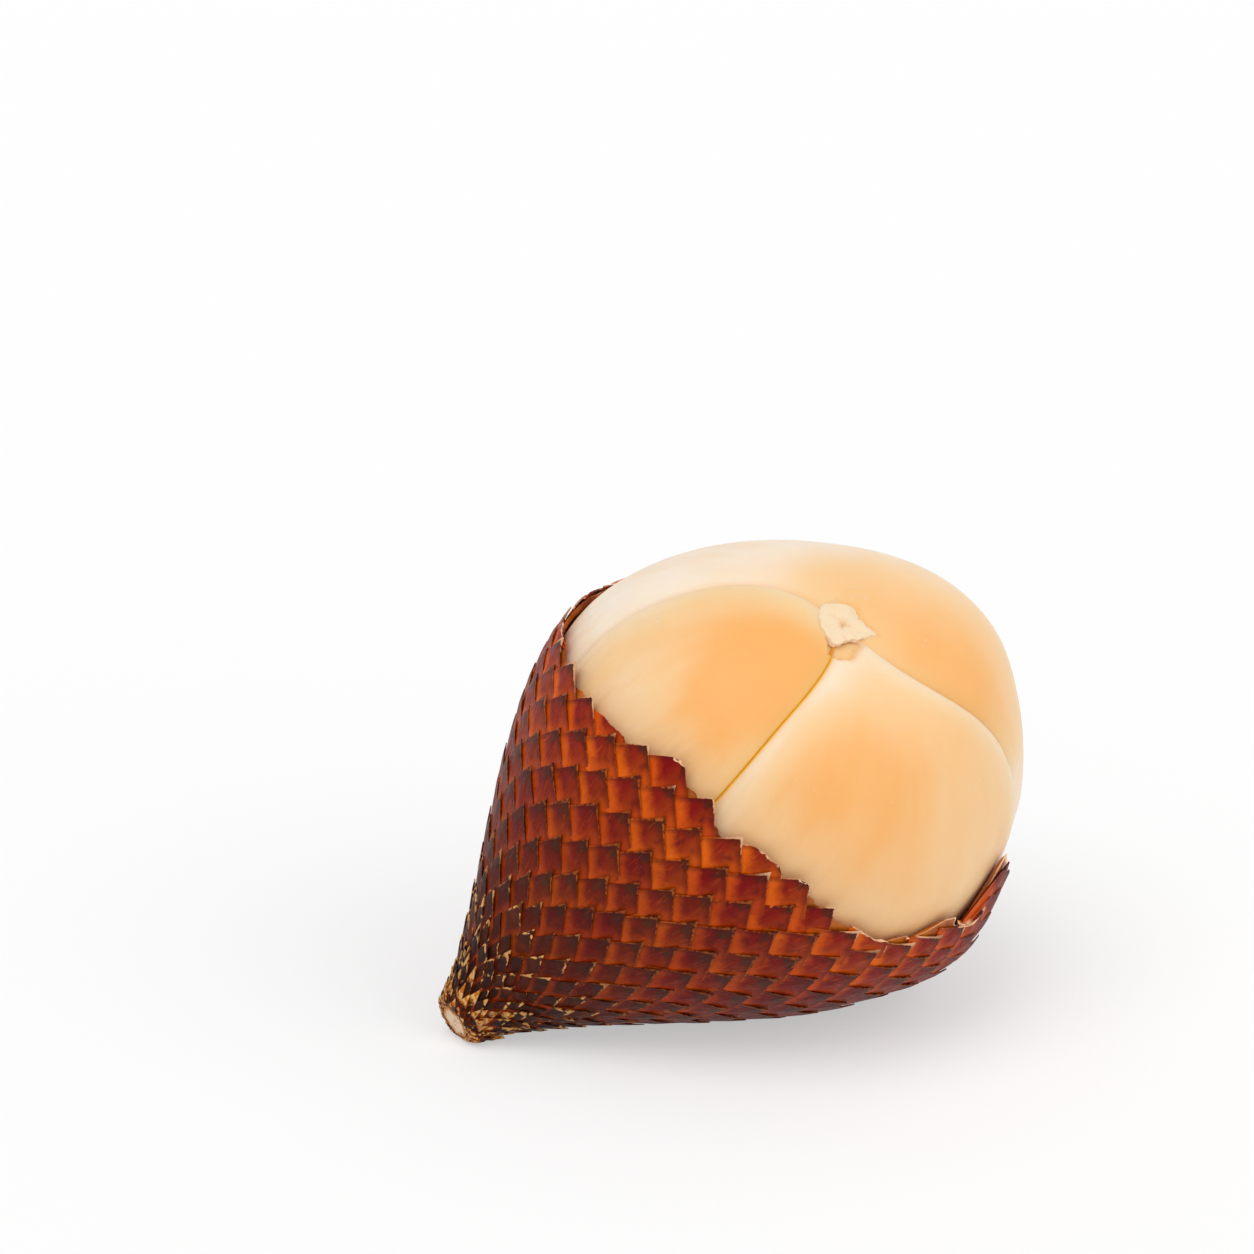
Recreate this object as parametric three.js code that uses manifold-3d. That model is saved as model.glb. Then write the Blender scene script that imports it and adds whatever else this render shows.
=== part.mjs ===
// A half-peeled snake fruit (salak) lying on its side. Millimetres, +Z up, +X from stem to round end.
// The scaly skin is a torn cup that tapers to the stem scar. Three lobes of flesh stand in the cup
// and meet under a small pad of tissue at the apex. The origin is the middle of the flat spot,
// under the belly, on which the fruit rests.
import * as THREE from "three";
import { mergeVertices } from "three/addons/utils/BufferGeometryUtils.js";
import Module from "manifold-3d";

const wasm = await Module();
wasm.setup();

const radians = THREE.MathUtils.degToRad;
const mix = THREE.MathUtils.lerp;
const smooth = THREE.MathUtils.smoothstep;

// Outline of the whole fruit, seen along its long axis
const AXIS_TILT = radians(31.9); // how far the round end is lifted from the table
const SCAR_RADIUS = 1.9; // pale disc where the stalk broke off
const SCAR_REACH = 1.2; // the scar stands this far in front of the neck's first ring
// rings between scar and neck: share of the reach, share of the widening from scar to neck
const SCAR_STEPS = [
  [0.75, 0.62],
  [0.35, 0.9],
];
const NECK_RADIUS = 3.4; // first ring of the neck
const NECK_HANDLE = new THREE.Vector2(14.5, 11.2); // distance and radius that the neck's curve heads for
const BELLY_RADIUS = 26.4; // widest ring
const BELLY_AT = 40; // widest ring, measured from the neck's first ring
const BELLY_HANDLE = 26; // the curve runs straight into the belly from here
const ROUND_END = 28.2; // from the widest ring to the far pole
const BOW_HEIGHT = 1.8; // the middle line arches upwards between stem and round end
const BOW_LENGTH = 50;
const PINCH = 0.9; // the round end is this much slimmer low on the near side
const PINCH_ANGLE = radians(-116);
const PINCH_WIDTH = radians(30);
const PINCH_FROM = 42;
const PINCH_TO = 56;
const RESTING_DEPTH = 0.45; // taken off the belly by the flat resting spot

// Skin
const SKIN_WALL = 0.9;
const NECK_SOLID_TO = 11; // the neck is solid up to here, then the hollow starts
const HOLLOW_ROUND = 5; // length over which the hollow rounds up from its pole
const FLARE = 1.6; // the skin stands off the flesh low on the near side, and closes in again
const FLARE_ANGLE = radians(-160);
const FLARE_WIDTH = radians(27);
const FLARE_FROM = 33;
const FLARE_FULL = 45;
const FLARE_TO = 57;

// Tear: a ragged edge round a plane that leans back over the belly
const TEAR_NORMAL = new THREE.Vector3(0.36, -0.38, 0.85).normalize();
const TEAR_HEIGHT = 6; // from the belly's middle to the plane
const TEAR_TEETH = 58;
const TOOTH_DEPTH = 0.9;
// rises and dips of the edge: turn from the stem side in degrees, half-width in degrees, height
const TEAR_WAVES = [
  [42, 20, 2.8],
  [53, 5, -0.8],
  [105, 18, -4],
  [134, 7, -2.6],
  [147, 6.5, 4.2],
  [180, 34, -3.4],
  [250, 30, 1],
  [325, 25, -2.5],
];

// Body that cuts the upper skin away, measured from the belly's middle
const CUTTER_CORE = 18; // its underside is plain up to this radius, inside the flesh
const CUTTER_TEETH = 22; // and jagged from here on
const CUTTER_RADIUS = 45;
const CUTTER_TOP = 60;

const TABLE_SIZE = 200; // block that cuts the flat resting spot
const TABLE_DEPTH = 20;

// Flesh
const GAP = 0.38; // between the skin and the flesh
const FLESH_POLE = NECK_SOLID_TO + 0.6;
const FLESH_ROUND = HOLLOW_ROUND - 0.5;
const SHOULDER = 2.2; // the rear lobe swells this much towards the round end
const SHOULDER_DIRECTION = new THREE.Vector3(0.923, 0.058, 0.38).normalize();
const SHOULDER_WIDTH = radians(23);
const LOBE_SHIFT = 0.22; // each lobe stands off the middle line, which leaves the gap between lobes
const GROOVE_DEPTH = 1.3;
const GROOVE_WIDTH = 3.2;
const GROOVE_ZERO = new THREE.Vector3(0.934, -0.358, 0); // grooves' turns start on this side
// Grooves: turn round the middle line, swing near the pad, and fall from the apex where it fades
const LEFT_RIGHT_GROOVE = [radians(-97.5), radians(11), radians(27)];
const LEFT_REAR_GROOVE = [radians(164), radians(-20.5), radians(48)];
const RIGHT_REAR_GROOVE = [radians(13.5), radians(-42), radians(35)];
const FALL_LOWEST = radians(172); // rings of a lobe, as falls from the apex
const FALL_HIGHEST = radians(4);
const FALL_RINGS = 25;
// places across a lobe's outer face, from groove to groove, closer at its rounded edges
const ACROSS = [0, 0.025, 0.06, 0.12, 0.22, 0.36, 0.5, 0.64, 0.78, 0.88, 0.94, 0.975, 1];
const INWARD = [0.34, 0.67]; // places on a lobe's flat sides, from its edge to the middle line

// Pad on the apex
const PAD_DIRECTION = new THREE.Vector3(0.121, -0.524, 0.843).normalize();
const PAD_RADIUS = 2.4;
const PAD_THICKNESS = 0.9;
const PAD_BED = 1.3; // depth of the hollow in the flesh that holds the pad
const PAD_BED_RADIUS = 2.9;
const PAD_BED_SLOPE = 1.6;
const PAD_SIDES = 24;
const PAD_DIMPLE = 0.3;
// waves of the pad's outline: count, phase, share of its radius
const PAD_WAVES = [
  [3, 0.6, 0.08],
  [7, 0, 0.05],
];
// rings of the pad from its floor to its dimple: share of its radius, height
const PAD_RINGS = [
  [0.6, -PAD_THICKNESS],
  [1, 0.15 - PAD_THICKNESS],
  [1, -0.25],
  [0.85, 0.05],
  [0.4, 0],
];

const AROUND = 48; // sides of the skin's rings
const STEPS_NECK = 15;
const STEPS_ROUND_END = 10;
const STEPS_HOLLOW = 22;
const FINEST_SHARE = 1e-6; // searches along the neck's curve stop here
const FINEST = 1e-5; // and searches for a surface here
const FARTHEST = 80; // no surface is farther away than this
const LEAST_RADIUS = 0.1;

// Axes of the fruit: along is the long axis, over is square to it and upwards, aside is level
const along = new THREE.Vector3(Math.cos(AXIS_TILT), 0, Math.sin(AXIS_TILT));
const aside = new THREE.Vector3(0, 1, 0);
const over = new THREE.Vector3().crossVectors(along, aside);

const neckCurve = new THREE.CubicBezierCurve(
  new THREE.Vector2(0, NECK_RADIUS),
  NECK_HANDLE,
  new THREE.Vector2(BELLY_HANDLE, BELLY_RADIUS),
  new THREE.Vector2(BELLY_AT, BELLY_RADIUS),
);

// Radius of the fruit at a distance along its axis, with the surface moved in by inset.
function radiusAt(distance, inset = 0) {
  if (distance >= BELLY_AT) {
    const share = (distance - BELLY_AT) / (ROUND_END - inset);
    return share >= 1 ? 0 : (BELLY_RADIUS - inset) * Math.sqrt(1 - share * share);
  }
  let low = 0;
  let high = 1;
  while (high - low > FINEST_SHARE) {
    const middle = (low + high) / 2;
    if (neckCurve.getPoint(middle).x < distance) low = middle;
    else high = middle;
  }
  const slope = neckCurve.getTangent(low);
  return neckCurve.getPoint(low).y - inset / slope.x;
}

// The same for a body inside the skin, which has a round pole of its own in the neck.
function innerRadiusAt(distance, inset, pole, rounding) {
  if (distance <= pole) return 0;
  const share = Math.max(0, (pole + rounding - distance) / rounding);
  return radiusAt(distance, inset) * Math.sqrt(1 - share * share);
}

function bowAt(distance) {
  const share = THREE.MathUtils.clamp(distance / BOW_LENGTH, 0, 1.2);
  return BOW_HEIGHT * Math.sin(Math.PI * share);
}

// A soft bump of height 1 round one turn.
function bump(turn, middle, halfWidth) {
  const off = Math.atan2(Math.sin(turn - middle), Math.cos(turn - middle)) / halfWidth;
  return Math.exp(-off * off);
}

// How far the whole fruit draws in at a distance along the axis and a turn from the top.
function pinchAt(distance, turn) {
  return PINCH * smooth(distance, PINCH_FROM, PINCH_TO) * bump(turn, PINCH_ANGLE, PINCH_WIDTH);
}

// How far the skin stands off the flesh.
function flareAt(distance, turn) {
  const open = smooth(distance, FLARE_FROM, FLARE_FULL) * (1 - smooth(distance, FLARE_FULL, FLARE_TO));
  return FLARE * open * bump(turn, FLARE_ANGLE, FLARE_WIDTH);
}

// A point given by distance along the axis, radius and turn, before the fruit is set down.
function fromAxis(distance, radius, turn) {
  return new THREE.Vector3()
    .addScaledVector(along, distance)
    .addScaledVector(over, radius * Math.cos(turn) + bowAt(distance))
    .addScaledVector(aside, radius * Math.sin(turn));
}

// The shift that puts the belly's lowest point under the origin, at the resting depth.
function restingShift() {
  let lowest = fromAxis(0, radiusAt(0), Math.PI);
  for (let distance = 0; distance < BELLY_AT; distance += 0.05) {
    const point = fromAxis(distance, radiusAt(distance), Math.PI);
    if (point.z < lowest.z) lowest = point;
  }
  return new THREE.Vector3(-lowest.x, 0, -lowest.z - RESTING_DEPTH);
}

const stem = restingShift(); // middle of the neck's first ring
const fruitPoint = (distance, radius, turn) => fromAxis(distance, radius, turn).add(stem);
const belly = fruitPoint(BELLY_AT, 0, 0);

// Radial room left inside a body round the axis: negative outside it.
function roomAt(point, bodyRadius) {
  const local = point.clone().sub(stem);
  const distance = local.dot(along);
  local.addScaledVector(along, -distance).addScaledVector(over, -bowAt(distance));
  const turn = Math.atan2(local.dot(aside), local.dot(over));
  return bodyRadius(distance) - pinchAt(distance, turn) - local.length();
}

// Distance from a point inside a body to its surface, in one direction.
function reach(from, direction, bodyRadius) {
  let low = 0;
  let high = FARTHEST;
  while (high - low > FINEST) {
    const middle = (low + high) / 2;
    const point = from.clone().addScaledVector(direction, middle);
    if (roomAt(point, bodyRadius) > 0) low = middle;
    else high = middle;
  }
  return low;
}

// Meshes and solids

function geometryOf(points, triangles) {
  const geometry = new THREE.BufferGeometry();
  const numbers = points.flatMap((point) => point.toArray());
  geometry.setAttribute("position", new THREE.Float32BufferAttribute(numbers, 3));
  geometry.setIndex(triangles);
  return geometry;
}

function solidOf(geometry) {
  const mesh = new wasm.Mesh({
    numProp: 3,
    vertProperties: new Float32Array(geometry.getAttribute("position").array),
    triVerts: new Uint32Array(geometry.getIndex().array),
  });
  return new wasm.Manifold(mesh);
}

function geometryOfSolid(solid) {
  const mesh = solid.getMesh();
  const geometry = new THREE.BufferGeometry();
  const positions = new THREE.Float32BufferAttribute(mesh.vertProperties, 3);
  geometry.setAttribute("position", positions);
  geometry.setIndex(new THREE.BufferAttribute(mesh.triVerts, 1));
  return geometry;
}

// A closed skin of rings of points, with one point at each end. Rings turn left round the way ahead.
function ringsGeometry(first, rings, last) {
  const points = [first, ...rings.flat(), last];
  const sides = rings[0].length;
  const triangles = [];
  const index = (ring, side) => 1 + ring * sides + (side % sides);
  for (let side = 0; side < sides; side += 1) {
    triangles.push(0, index(0, side + 1), index(0, side));
    triangles.push(points.length - 1, index(rings.length - 1, side), index(rings.length - 1, side + 1));
    for (let ring = 0; ring + 1 < rings.length; ring += 1) {
      triangles.push(index(ring, side), index(ring, side + 1), index(ring + 1, side));
      triangles.push(index(ring + 1, side), index(ring, side + 1), index(ring + 1, side + 1));
    }
  }
  return geometryOf(points, triangles);
}

const range = (count, make) => Array.from({ length: count }, (_, i) => make(i));

// Skin

function skinRing(distance, radius) {
  return range(AROUND, (side) => {
    const turn = (-2 * Math.PI * side) / AROUND;
    const out = radius + flareAt(distance, turn) - pinchAt(distance, turn);
    return fruitPoint(distance, Math.max(out, LEAST_RADIUS), turn);
  });
}

function outerBody() {
  const rings = [skinRing(-SCAR_REACH, SCAR_RADIUS)];
  SCAR_STEPS.forEach(([back, wide]) => {
    rings.push(skinRing(-back * SCAR_REACH, mix(SCAR_RADIUS, NECK_RADIUS, wide)));
  });
  for (let step = 0; step < STEPS_NECK; step += 1) {
    const point = neckCurve.getPoint(step / STEPS_NECK);
    rings.push(skinRing(point.x, point.y));
  }
  for (let step = 0; step < STEPS_ROUND_END; step += 1) {
    const angle = (Math.PI / 2) * (step / STEPS_ROUND_END);
    rings.push(skinRing(BELLY_AT + ROUND_END * Math.sin(angle), BELLY_RADIUS * Math.cos(angle)));
  }
  const pole = fruitPoint(BELLY_AT + ROUND_END, 0, 0);
  return solidOf(ringsGeometry(fruitPoint(-SCAR_REACH, 0, 0), rings, pole));
}

function hollowBody() {
  const rings = [];
  const far = BELLY_AT + ROUND_END - SKIN_WALL;
  for (let step = 1; step < STEPS_HOLLOW; step += 1) {
    const angle = (Math.PI * step) / STEPS_HOLLOW;
    const distance = mix(NECK_SOLID_TO, far, (1 - Math.cos(angle)) / 2);
    rings.push(skinRing(distance, innerRadiusAt(distance, SKIN_WALL, NECK_SOLID_TO, HOLLOW_ROUND)));
  }
  return solidOf(ringsGeometry(fruitPoint(NECK_SOLID_TO, 0, 0), rings, fruitPoint(far, 0, 0)));
}

// Height of the tear over the belly's middle, at a turn round its normal from the stem side.
function tearHeight(turn) {
  const degrees = THREE.MathUtils.radToDeg(turn);
  return TEAR_WAVES.reduce((height, [at, halfWidth, rise]) => {
    const off = (THREE.MathUtils.euclideanModulo(degrees - at + 180, 360) - 180) / halfWidth;
    return height + rise * Math.exp(-off * off);
  }, TEAR_HEIGHT);
}

const tearStemSide = new THREE.Vector3().crossVectors(TEAR_NORMAL, aside).normalize();
const tearNearSide = new THREE.Vector3().crossVectors(TEAR_NORMAL, tearStemSide);

function tearPoint(turn, radius, height) {
  return belly
    .clone()
    .addScaledVector(tearStemSide, radius * Math.cos(turn))
    .addScaledVector(tearNearSide, radius * Math.sin(turn))
    .addScaledVector(TEAR_NORMAL, height);
}

// Everything above the tear, with a jagged underside.
function peeledAway() {
  const sides = 2 * TEAR_TEETH;
  const ring = (radius, height) =>
    range(sides, (side) => {
      const turn = (2 * Math.PI * side) / sides;
      return tearPoint(turn, radius, height(turn, side));
    });
  const jagged = (turn, side) => tearHeight(turn) + (side % 2 ? TOOTH_DEPTH : -TOOTH_DEPTH) / 2;
  const rings = [
    ring(CUTTER_CORE, tearHeight),
    ring(CUTTER_TEETH, jagged),
    ring(CUTTER_RADIUS, jagged),
    ring(CUTTER_RADIUS, () => CUTTER_TOP),
  ];
  return solidOf(ringsGeometry(tearPoint(0, 0, TEAR_HEIGHT), rings, tearPoint(0, 0, CUTTER_TOP)));
}

function underTheTable() {
  const block = new THREE.BoxGeometry(TABLE_SIZE, TABLE_SIZE, TABLE_DEPTH);
  block.deleteAttribute("normal");
  block.deleteAttribute("uv");
  block.translate(0, 0, -TABLE_DEPTH / 2);
  return solidOf(mergeVertices(block));
}

function skinGeometry() {
  const cup = outerBody().subtract(hollowBody()).subtract(peeledAway()).subtract(underTheTable());
  return geometryOfSolid(cup);
}

// Flesh

// Radius of all the flesh together, without its shoulder.
function fleshRadius(distance) {
  return innerRadiusAt(distance, SKIN_WALL + GAP, FLESH_POLE, FLESH_ROUND);
}

const apex = belly
  .clone()
  .addScaledVector(PAD_DIRECTION, reach(belly, PAD_DIRECTION, fleshRadius));
const root = fruitPoint(NECK_SOLID_TO + 2, 0, 0);
const core = new THREE.Vector3().subVectors(apex, root).normalize(); // line on which the lobes meet
const heart = root.clone().addScaledVector(core, new THREE.Vector3().subVectors(belly, root).dot(core));
const backward = new THREE.Vector3().crossVectors(core, GROOVE_ZERO).normalize();
const rightward = new THREE.Vector3().crossVectors(backward, core);

function fromHeart(turn, fall) {
  return new THREE.Vector3()
    .addScaledVector(core, Math.cos(fall))
    .addScaledVector(rightward, Math.sin(fall) * Math.cos(turn))
    .addScaledVector(backward, Math.sin(fall) * Math.sin(turn));
}

// Distance from the heart to the flesh's surface, shoulder included.
function fleshReach(direction) {
  const off = direction.angleTo(SHOULDER_DIRECTION) / SHOULDER_WIDTH;
  return reach(heart, direction, fleshRadius) + SHOULDER * Math.exp(-off * off);
}

// Drop of a lobe's surface towards its edge, as a quarter round.
function edgeDrop(toEdge) {
  const share = THREE.MathUtils.clamp(1 - toEdge / GROOVE_WIDTH, 0, 1);
  return GROOVE_DEPTH * (1 - Math.sqrt(1 - share * share));
}

function lobeSurfacePoint(turn, fall, toEdge) {
  const direction = fromHeart(turn, fall);
  const full = fleshReach(direction);
  const fromPad = full * fall;
  const bed = PAD_BED * (1 - smooth(fromPad, PAD_BED_RADIUS, PAD_BED_RADIUS + PAD_BED_SLOPE));
  return heart.clone().addScaledVector(direction, full - Math.max(bed, edgeDrop(toEdge)));
}

// Turn of a groove at a fall from the apex.
function grooveTurn([turn, swing, fade], fall) {
  return turn + swing * Math.exp(-((fall / fade) ** 2));
}

// Point of the middle line that the walls of all three grooves meet at, for one fall.
function innerPoint(fall) {
  const levels = [LEFT_RIGHT_GROOVE, LEFT_REAR_GROOVE, RIGHT_REAR_GROOVE].map((groove) =>
    lobeSurfacePoint(grooveTurn(groove, fall), fall, 0).sub(heart).dot(core),
  );
  const level = levels.reduce((sum, one) => sum + one) / levels.length;
  return heart.clone().addScaledVector(core, level);
}

// One lobe between two grooves. Its rings are cross-sections from the neck up to the apex.
function lobeGeometry(fromGroove, toGroove) {
  const inOrder = grooveTurn(fromGroove, FALL_LOWEST) < grooveTurn(toGroove, FALL_LOWEST);
  const back = inOrder ? 0 : 2 * Math.PI;
  const startOf = (fall) => grooveTurn(fromGroove, fall) - back;
  const endOf = (fall) => grooveTurn(toGroove, fall);
  const middleTurn = (startOf(Math.PI / 2) + endOf(Math.PI / 2)) / 2;
  const shift = fromHeart(middleTurn, Math.PI / 2).multiplyScalar(LOBE_SHIFT);
  const rings = range(FALL_RINGS, (i) => {
    const fall = mix(FALL_LOWEST, FALL_HIGHEST, i / (FALL_RINGS - 1));
    const start = startOf(fall);
    const end = endOf(fall);
    const face = ACROSS.map((share) => {
      const turn = mix(start, end, share);
      const toEdge = Math.min(turn - start, end - turn) * BELLY_RADIUS * Math.sin(fall);
      return lobeSurfacePoint(turn, fall, toEdge);
    });
    const first = face[0];
    const last = face[face.length - 1];
    const inner = innerPoint(fall);
    const inwards = INWARD.map((share) => last.clone().lerp(inner, share));
    const outwards = INWARD.map((share) => inner.clone().lerp(first, share));
    return [...face, ...inwards, inner, ...outwards].map((point) => point.add(shift));
  });
  const top = heart.clone().addScaledVector(core, fleshReach(core) - PAD_BED);
  const bottom = heart.clone().addScaledVector(core, -fleshReach(core.clone().negate()));
  return ringsGeometry(bottom.add(shift), rings, top.add(shift));
}

// Pad

// Outline of the pad at a turn: a rough round with three blunt corners.
function padRadius(turn) {
  const waves = PAD_WAVES.map(([count, phase, share]) => share * Math.cos(count * turn + phase));
  return PAD_RADIUS * waves.reduce((sum, wave) => sum + wave, 1);
}

function padGeometry() {
  const level = fleshReach(core);
  const rings = PAD_RINGS.map(([share, height]) =>
    range(PAD_SIDES, (side) => {
      const turn = (2 * Math.PI * side) / PAD_SIDES;
      const direction = fromHeart(turn, (share * padRadius(turn)) / level);
      return heart.clone().addScaledVector(direction, fleshReach(direction) + height);
    }),
  );
  const under = heart.clone().addScaledVector(core, level - PAD_THICKNESS);
  const dimple = heart.clone().addScaledVector(core, level - PAD_DIMPLE);
  return ringsGeometry(under, rings, dimple);
}

// Materials and assembly

function waxySkin() {
  return new THREE.MeshStandardMaterial({ color: 0x7a2c14, roughness: 0.38, metalness: 0 });
}

function paleFlesh() {
  return new THREE.MeshStandardMaterial({ color: 0xf3c990, roughness: 0.35, metalness: 0 });
}

function padTissue() {
  return new THREE.MeshStandardMaterial({ color: 0xf4d6a4, roughness: 0.6, metalness: 0 });
}

const group = new THREE.Group();

function addPiece(name, geometry, material) {
  const piece = new THREE.Mesh(geometry, material);
  piece.name = name;
  group.add(piece);
}

addPiece("skin", skinGeometry(), waxySkin());
addPiece("flesh_lobe_left", lobeGeometry(LEFT_REAR_GROOVE, LEFT_RIGHT_GROOVE), paleFlesh());
addPiece("flesh_lobe_right", lobeGeometry(LEFT_RIGHT_GROOVE, RIGHT_REAR_GROOVE), paleFlesh());
addPiece("flesh_lobe_rear", lobeGeometry(RIGHT_REAR_GROOVE, LEFT_REAR_GROOVE), paleFlesh());
addPiece("apex_pad", padGeometry(), padTissue());

export default group;
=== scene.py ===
"""Half-peeled snake fruit (salak): scaly skin torn to a cup round three lobes of flesh.

All shapes are worked out in millimetres along the fruit's own long axis and are
turned to metres when a mesh is made. The frame holds the fruit's place and size.
"""

import logging
import math
from dataclasses import dataclass
from functools import cached_property
from typing import Callable, Sequence

import bpy
import numpy as np
from mathutils import Matrix, Vector


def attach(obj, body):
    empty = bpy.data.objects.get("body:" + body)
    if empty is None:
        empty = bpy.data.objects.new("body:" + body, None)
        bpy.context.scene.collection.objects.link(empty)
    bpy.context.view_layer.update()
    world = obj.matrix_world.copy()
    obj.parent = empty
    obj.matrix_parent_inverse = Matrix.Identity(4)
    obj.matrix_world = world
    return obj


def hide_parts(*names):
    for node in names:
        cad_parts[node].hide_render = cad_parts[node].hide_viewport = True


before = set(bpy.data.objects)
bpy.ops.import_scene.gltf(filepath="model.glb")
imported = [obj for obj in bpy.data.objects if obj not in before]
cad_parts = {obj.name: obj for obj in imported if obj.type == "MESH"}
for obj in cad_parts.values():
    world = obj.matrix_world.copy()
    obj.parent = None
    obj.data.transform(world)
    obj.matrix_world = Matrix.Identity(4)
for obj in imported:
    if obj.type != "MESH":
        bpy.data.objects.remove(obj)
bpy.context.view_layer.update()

LOG = logging.getLogger("snake_fruit")
METRE = 0.001  # one millimetre, in metres
TAU = 2 * math.pi
SEED = 41

Numbers = np.ndarray
Colour = tuple[float, float, float, float]
Span = tuple[float, float]
Waves = tuple[tuple[float, float, float], ...]
Socket = bpy.types.NodeSocket


# ---------------------------------------------------------------- small helpers


def smooth(value: Numbers, low: float, high: float) -> Numbers:
    """Soft step from 0 at low to 1 at high."""
    share = np.clip((np.asarray(value, float) - low) / (high - low), 0, 1)
    return share * share * (3 - 2 * share)


def mix(first: Numbers, second: Numbers, share: Numbers) -> Numbers:
    """Straight blend of two values."""
    return first + (second - first) * share


def bump(turn: Numbers, middle: float, half_width: float) -> Numbers:
    """Soft hill of height 1 round one turn, in radians."""
    off = np.arctan2(np.sin(turn - middle), np.cos(turn - middle)) / half_width
    return np.exp(-off * off)


def ripple(turn: Numbers, waves: Waves) -> Numbers:
    """Sum of sine waves round the fruit, each by its count, phase and height."""
    return sum(height * np.sin(count * turn + phase) for count, phase, height in waves)


def unit(vectors: Numbers) -> Numbers:
    """Vectors scaled to length 1."""
    vectors = np.asarray(vectors, float)
    return vectors / np.linalg.norm(vectors, axis=-1, keepdims=True)


def colour(code: str) -> Colour:
    """Linear colour of a hexadecimal display colour such as "F3C48A".

    Args:
        code: six hexadecimal digits.

    Returns:
        Red, green, blue and an alpha of 1.
    """
    parts = [int(code[at : at + 2], 16) / 255 for at in (0, 2, 4)]
    linear = [c / 12.92 if c <= 0.04045 else ((c + 0.055) / 1.055) ** 2.4 for c in parts]
    return (*linear, 1.0)


# ------------------------------------------------------------------ fruit shape


@dataclass(frozen=True)
class FruitForm:
    """Outline of the whole fruit: a bowed body of revolution that lies on the table.

    Distances run along the axis from the neck's first ring. A turn is 0 on top,
    negative on the near side and plus or minus pi underneath.
    """

    axis_tilt: float = math.radians(31.9)
    scar_radius: float = 1.9
    scar_reach: float = 1.2
    collar: float = 2.13  # way over the neck's rounded end, from its first ring to the scar
    neck_radius: float = 3.4
    neck_handle: tuple[float, float] = (14.5, 11.2)
    belly_handle: float = 26.0
    belly_radius: float = 26.4
    belly_at: float = 40.0
    round_end: float = 28.2
    bow_height: float = 1.8
    bow_length: float = 50.0
    bow_past: float = 1.2  # the arch goes on past its length by this factor
    pinch: float = 0.9
    pinch_turn: float = math.radians(-116)
    pinch_width: float = math.radians(30)
    pinch_span: Span = (42.0, 56.0)
    flare: float = 1.6
    flare_turn: float = math.radians(-160)
    flare_width: float = math.radians(27)
    flare_span: tuple[float, float, float] = (33.0, 45.0, 57.0)
    resting_depth: float = 0.45
    scar_slant: float = 0.256
    slant_turn: float = math.radians(130.4)
    slant_fade: float = 7.0
    samples: int = 2001
    step: float = 0.05
    least_ring: float = 0.3  # lengths round the neck's end are taken at this distance
    least_radius: float = 0.05

    @cached_property
    def along(self) -> Numbers:
        """Direction of the long axis, from stem to round end."""
        return np.array([math.cos(self.axis_tilt), 0.0, math.sin(self.axis_tilt)])

    @cached_property
    def aside(self) -> Numbers:
        """Level direction square to the axis."""
        return np.array([0.0, 1.0, 0.0])

    @cached_property
    def over(self) -> Numbers:
        """Direction square to the axis and upwards."""
        return np.cross(self.along, self.aside)

    @cached_property
    def neck_line(self) -> tuple[Numbers, Numbers, Numbers]:
        """Distances, radii and slope shares sampled on the neck's curve.

        Returns:
            Three rows of numbers, from the neck's first ring to the belly.
        """
        t = np.linspace(0, 1, self.samples)
        ways = ((0.0, self.neck_handle[0], self.belly_handle, self.belly_at),
                (self.neck_radius, self.neck_handle[1], self.belly_radius, self.belly_radius))
        curve = [
            (1 - t) ** 3 * a + 3 * t * (1 - t) ** 2 * b + 3 * t * t * (1 - t) * c + t**3 * d
            for a, b, c, d in ways
        ]
        run = np.gradient(curve[0])
        return curve[0], curve[1], run / np.hypot(run, np.gradient(curve[1]))

    @cached_property
    def stem(self) -> Numbers:
        """Middle of the neck's first ring, with the fruit set down on the table.

        Returns:
            The point, in millimetres.
        """
        distance = np.arange(0, self.belly_at, self.step)
        low = self.from_axis(distance, self.radius(distance), np.full(len(distance), math.pi))
        lowest = low[low[:, 2].argmin()]
        return np.array([-lowest[0], 0.0, -lowest[2] - self.resting_depth])

    @cached_property
    def belly(self) -> Numbers:
        """Middle of the widest ring."""
        return self.point(self.belly_at, 0.0, 0.0)

    def radius(self, distance: Numbers, inset: float | Numbers = 0.0) -> Numbers:
        """Radius at a distance along the axis, with the surface moved in by inset.

        Args:
            distance: distances along the axis.
            inset: depth under the surface.

        Returns:
            Radii, 0 past the round end.
        """
        distance = np.asarray(distance, float)
        reach, height, slope = self.neck_line
        neck = np.interp(distance, reach, height) - inset / np.interp(distance, reach, slope)
        share = np.clip((distance - self.belly_at) / (self.round_end - inset), 0, 1)
        end = (self.belly_radius - inset) * np.sqrt(1 - share * share)
        return np.where(distance < self.belly_at, neck, end)

    def girth(self, distance: Numbers) -> Numbers:
        """Radius at which a turn is measured as a length, also past the neck's end."""
        return self.radius(np.maximum(distance, self.least_ring))

    def bow(self, distance: Numbers) -> Numbers:
        """How far the middle line arches up over a straight axis."""
        share = np.clip(np.asarray(distance, float) / self.bow_length, 0, self.bow_past)
        return self.bow_height * np.sin(math.pi * share)

    def slanted(self, radius: Numbers, turn: Numbers) -> Numbers:
        """How far the slanted end of the neck lies past a square one."""
        return -self.scar_slant * radius * np.cos(turn - self.slant_turn)

    def pinched(self, distance: Numbers, turn: Numbers) -> Numbers:
        """How far the whole fruit draws in low on the near side of its round end.

        Args:
            distance: distances along the axis.
            turn: turns round the axis.

        Returns:
            Depths in millimetres.
        """
        return self.pinch * smooth(distance, *self.pinch_span) * bump(
            turn, self.pinch_turn, self.pinch_width
        )

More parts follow.
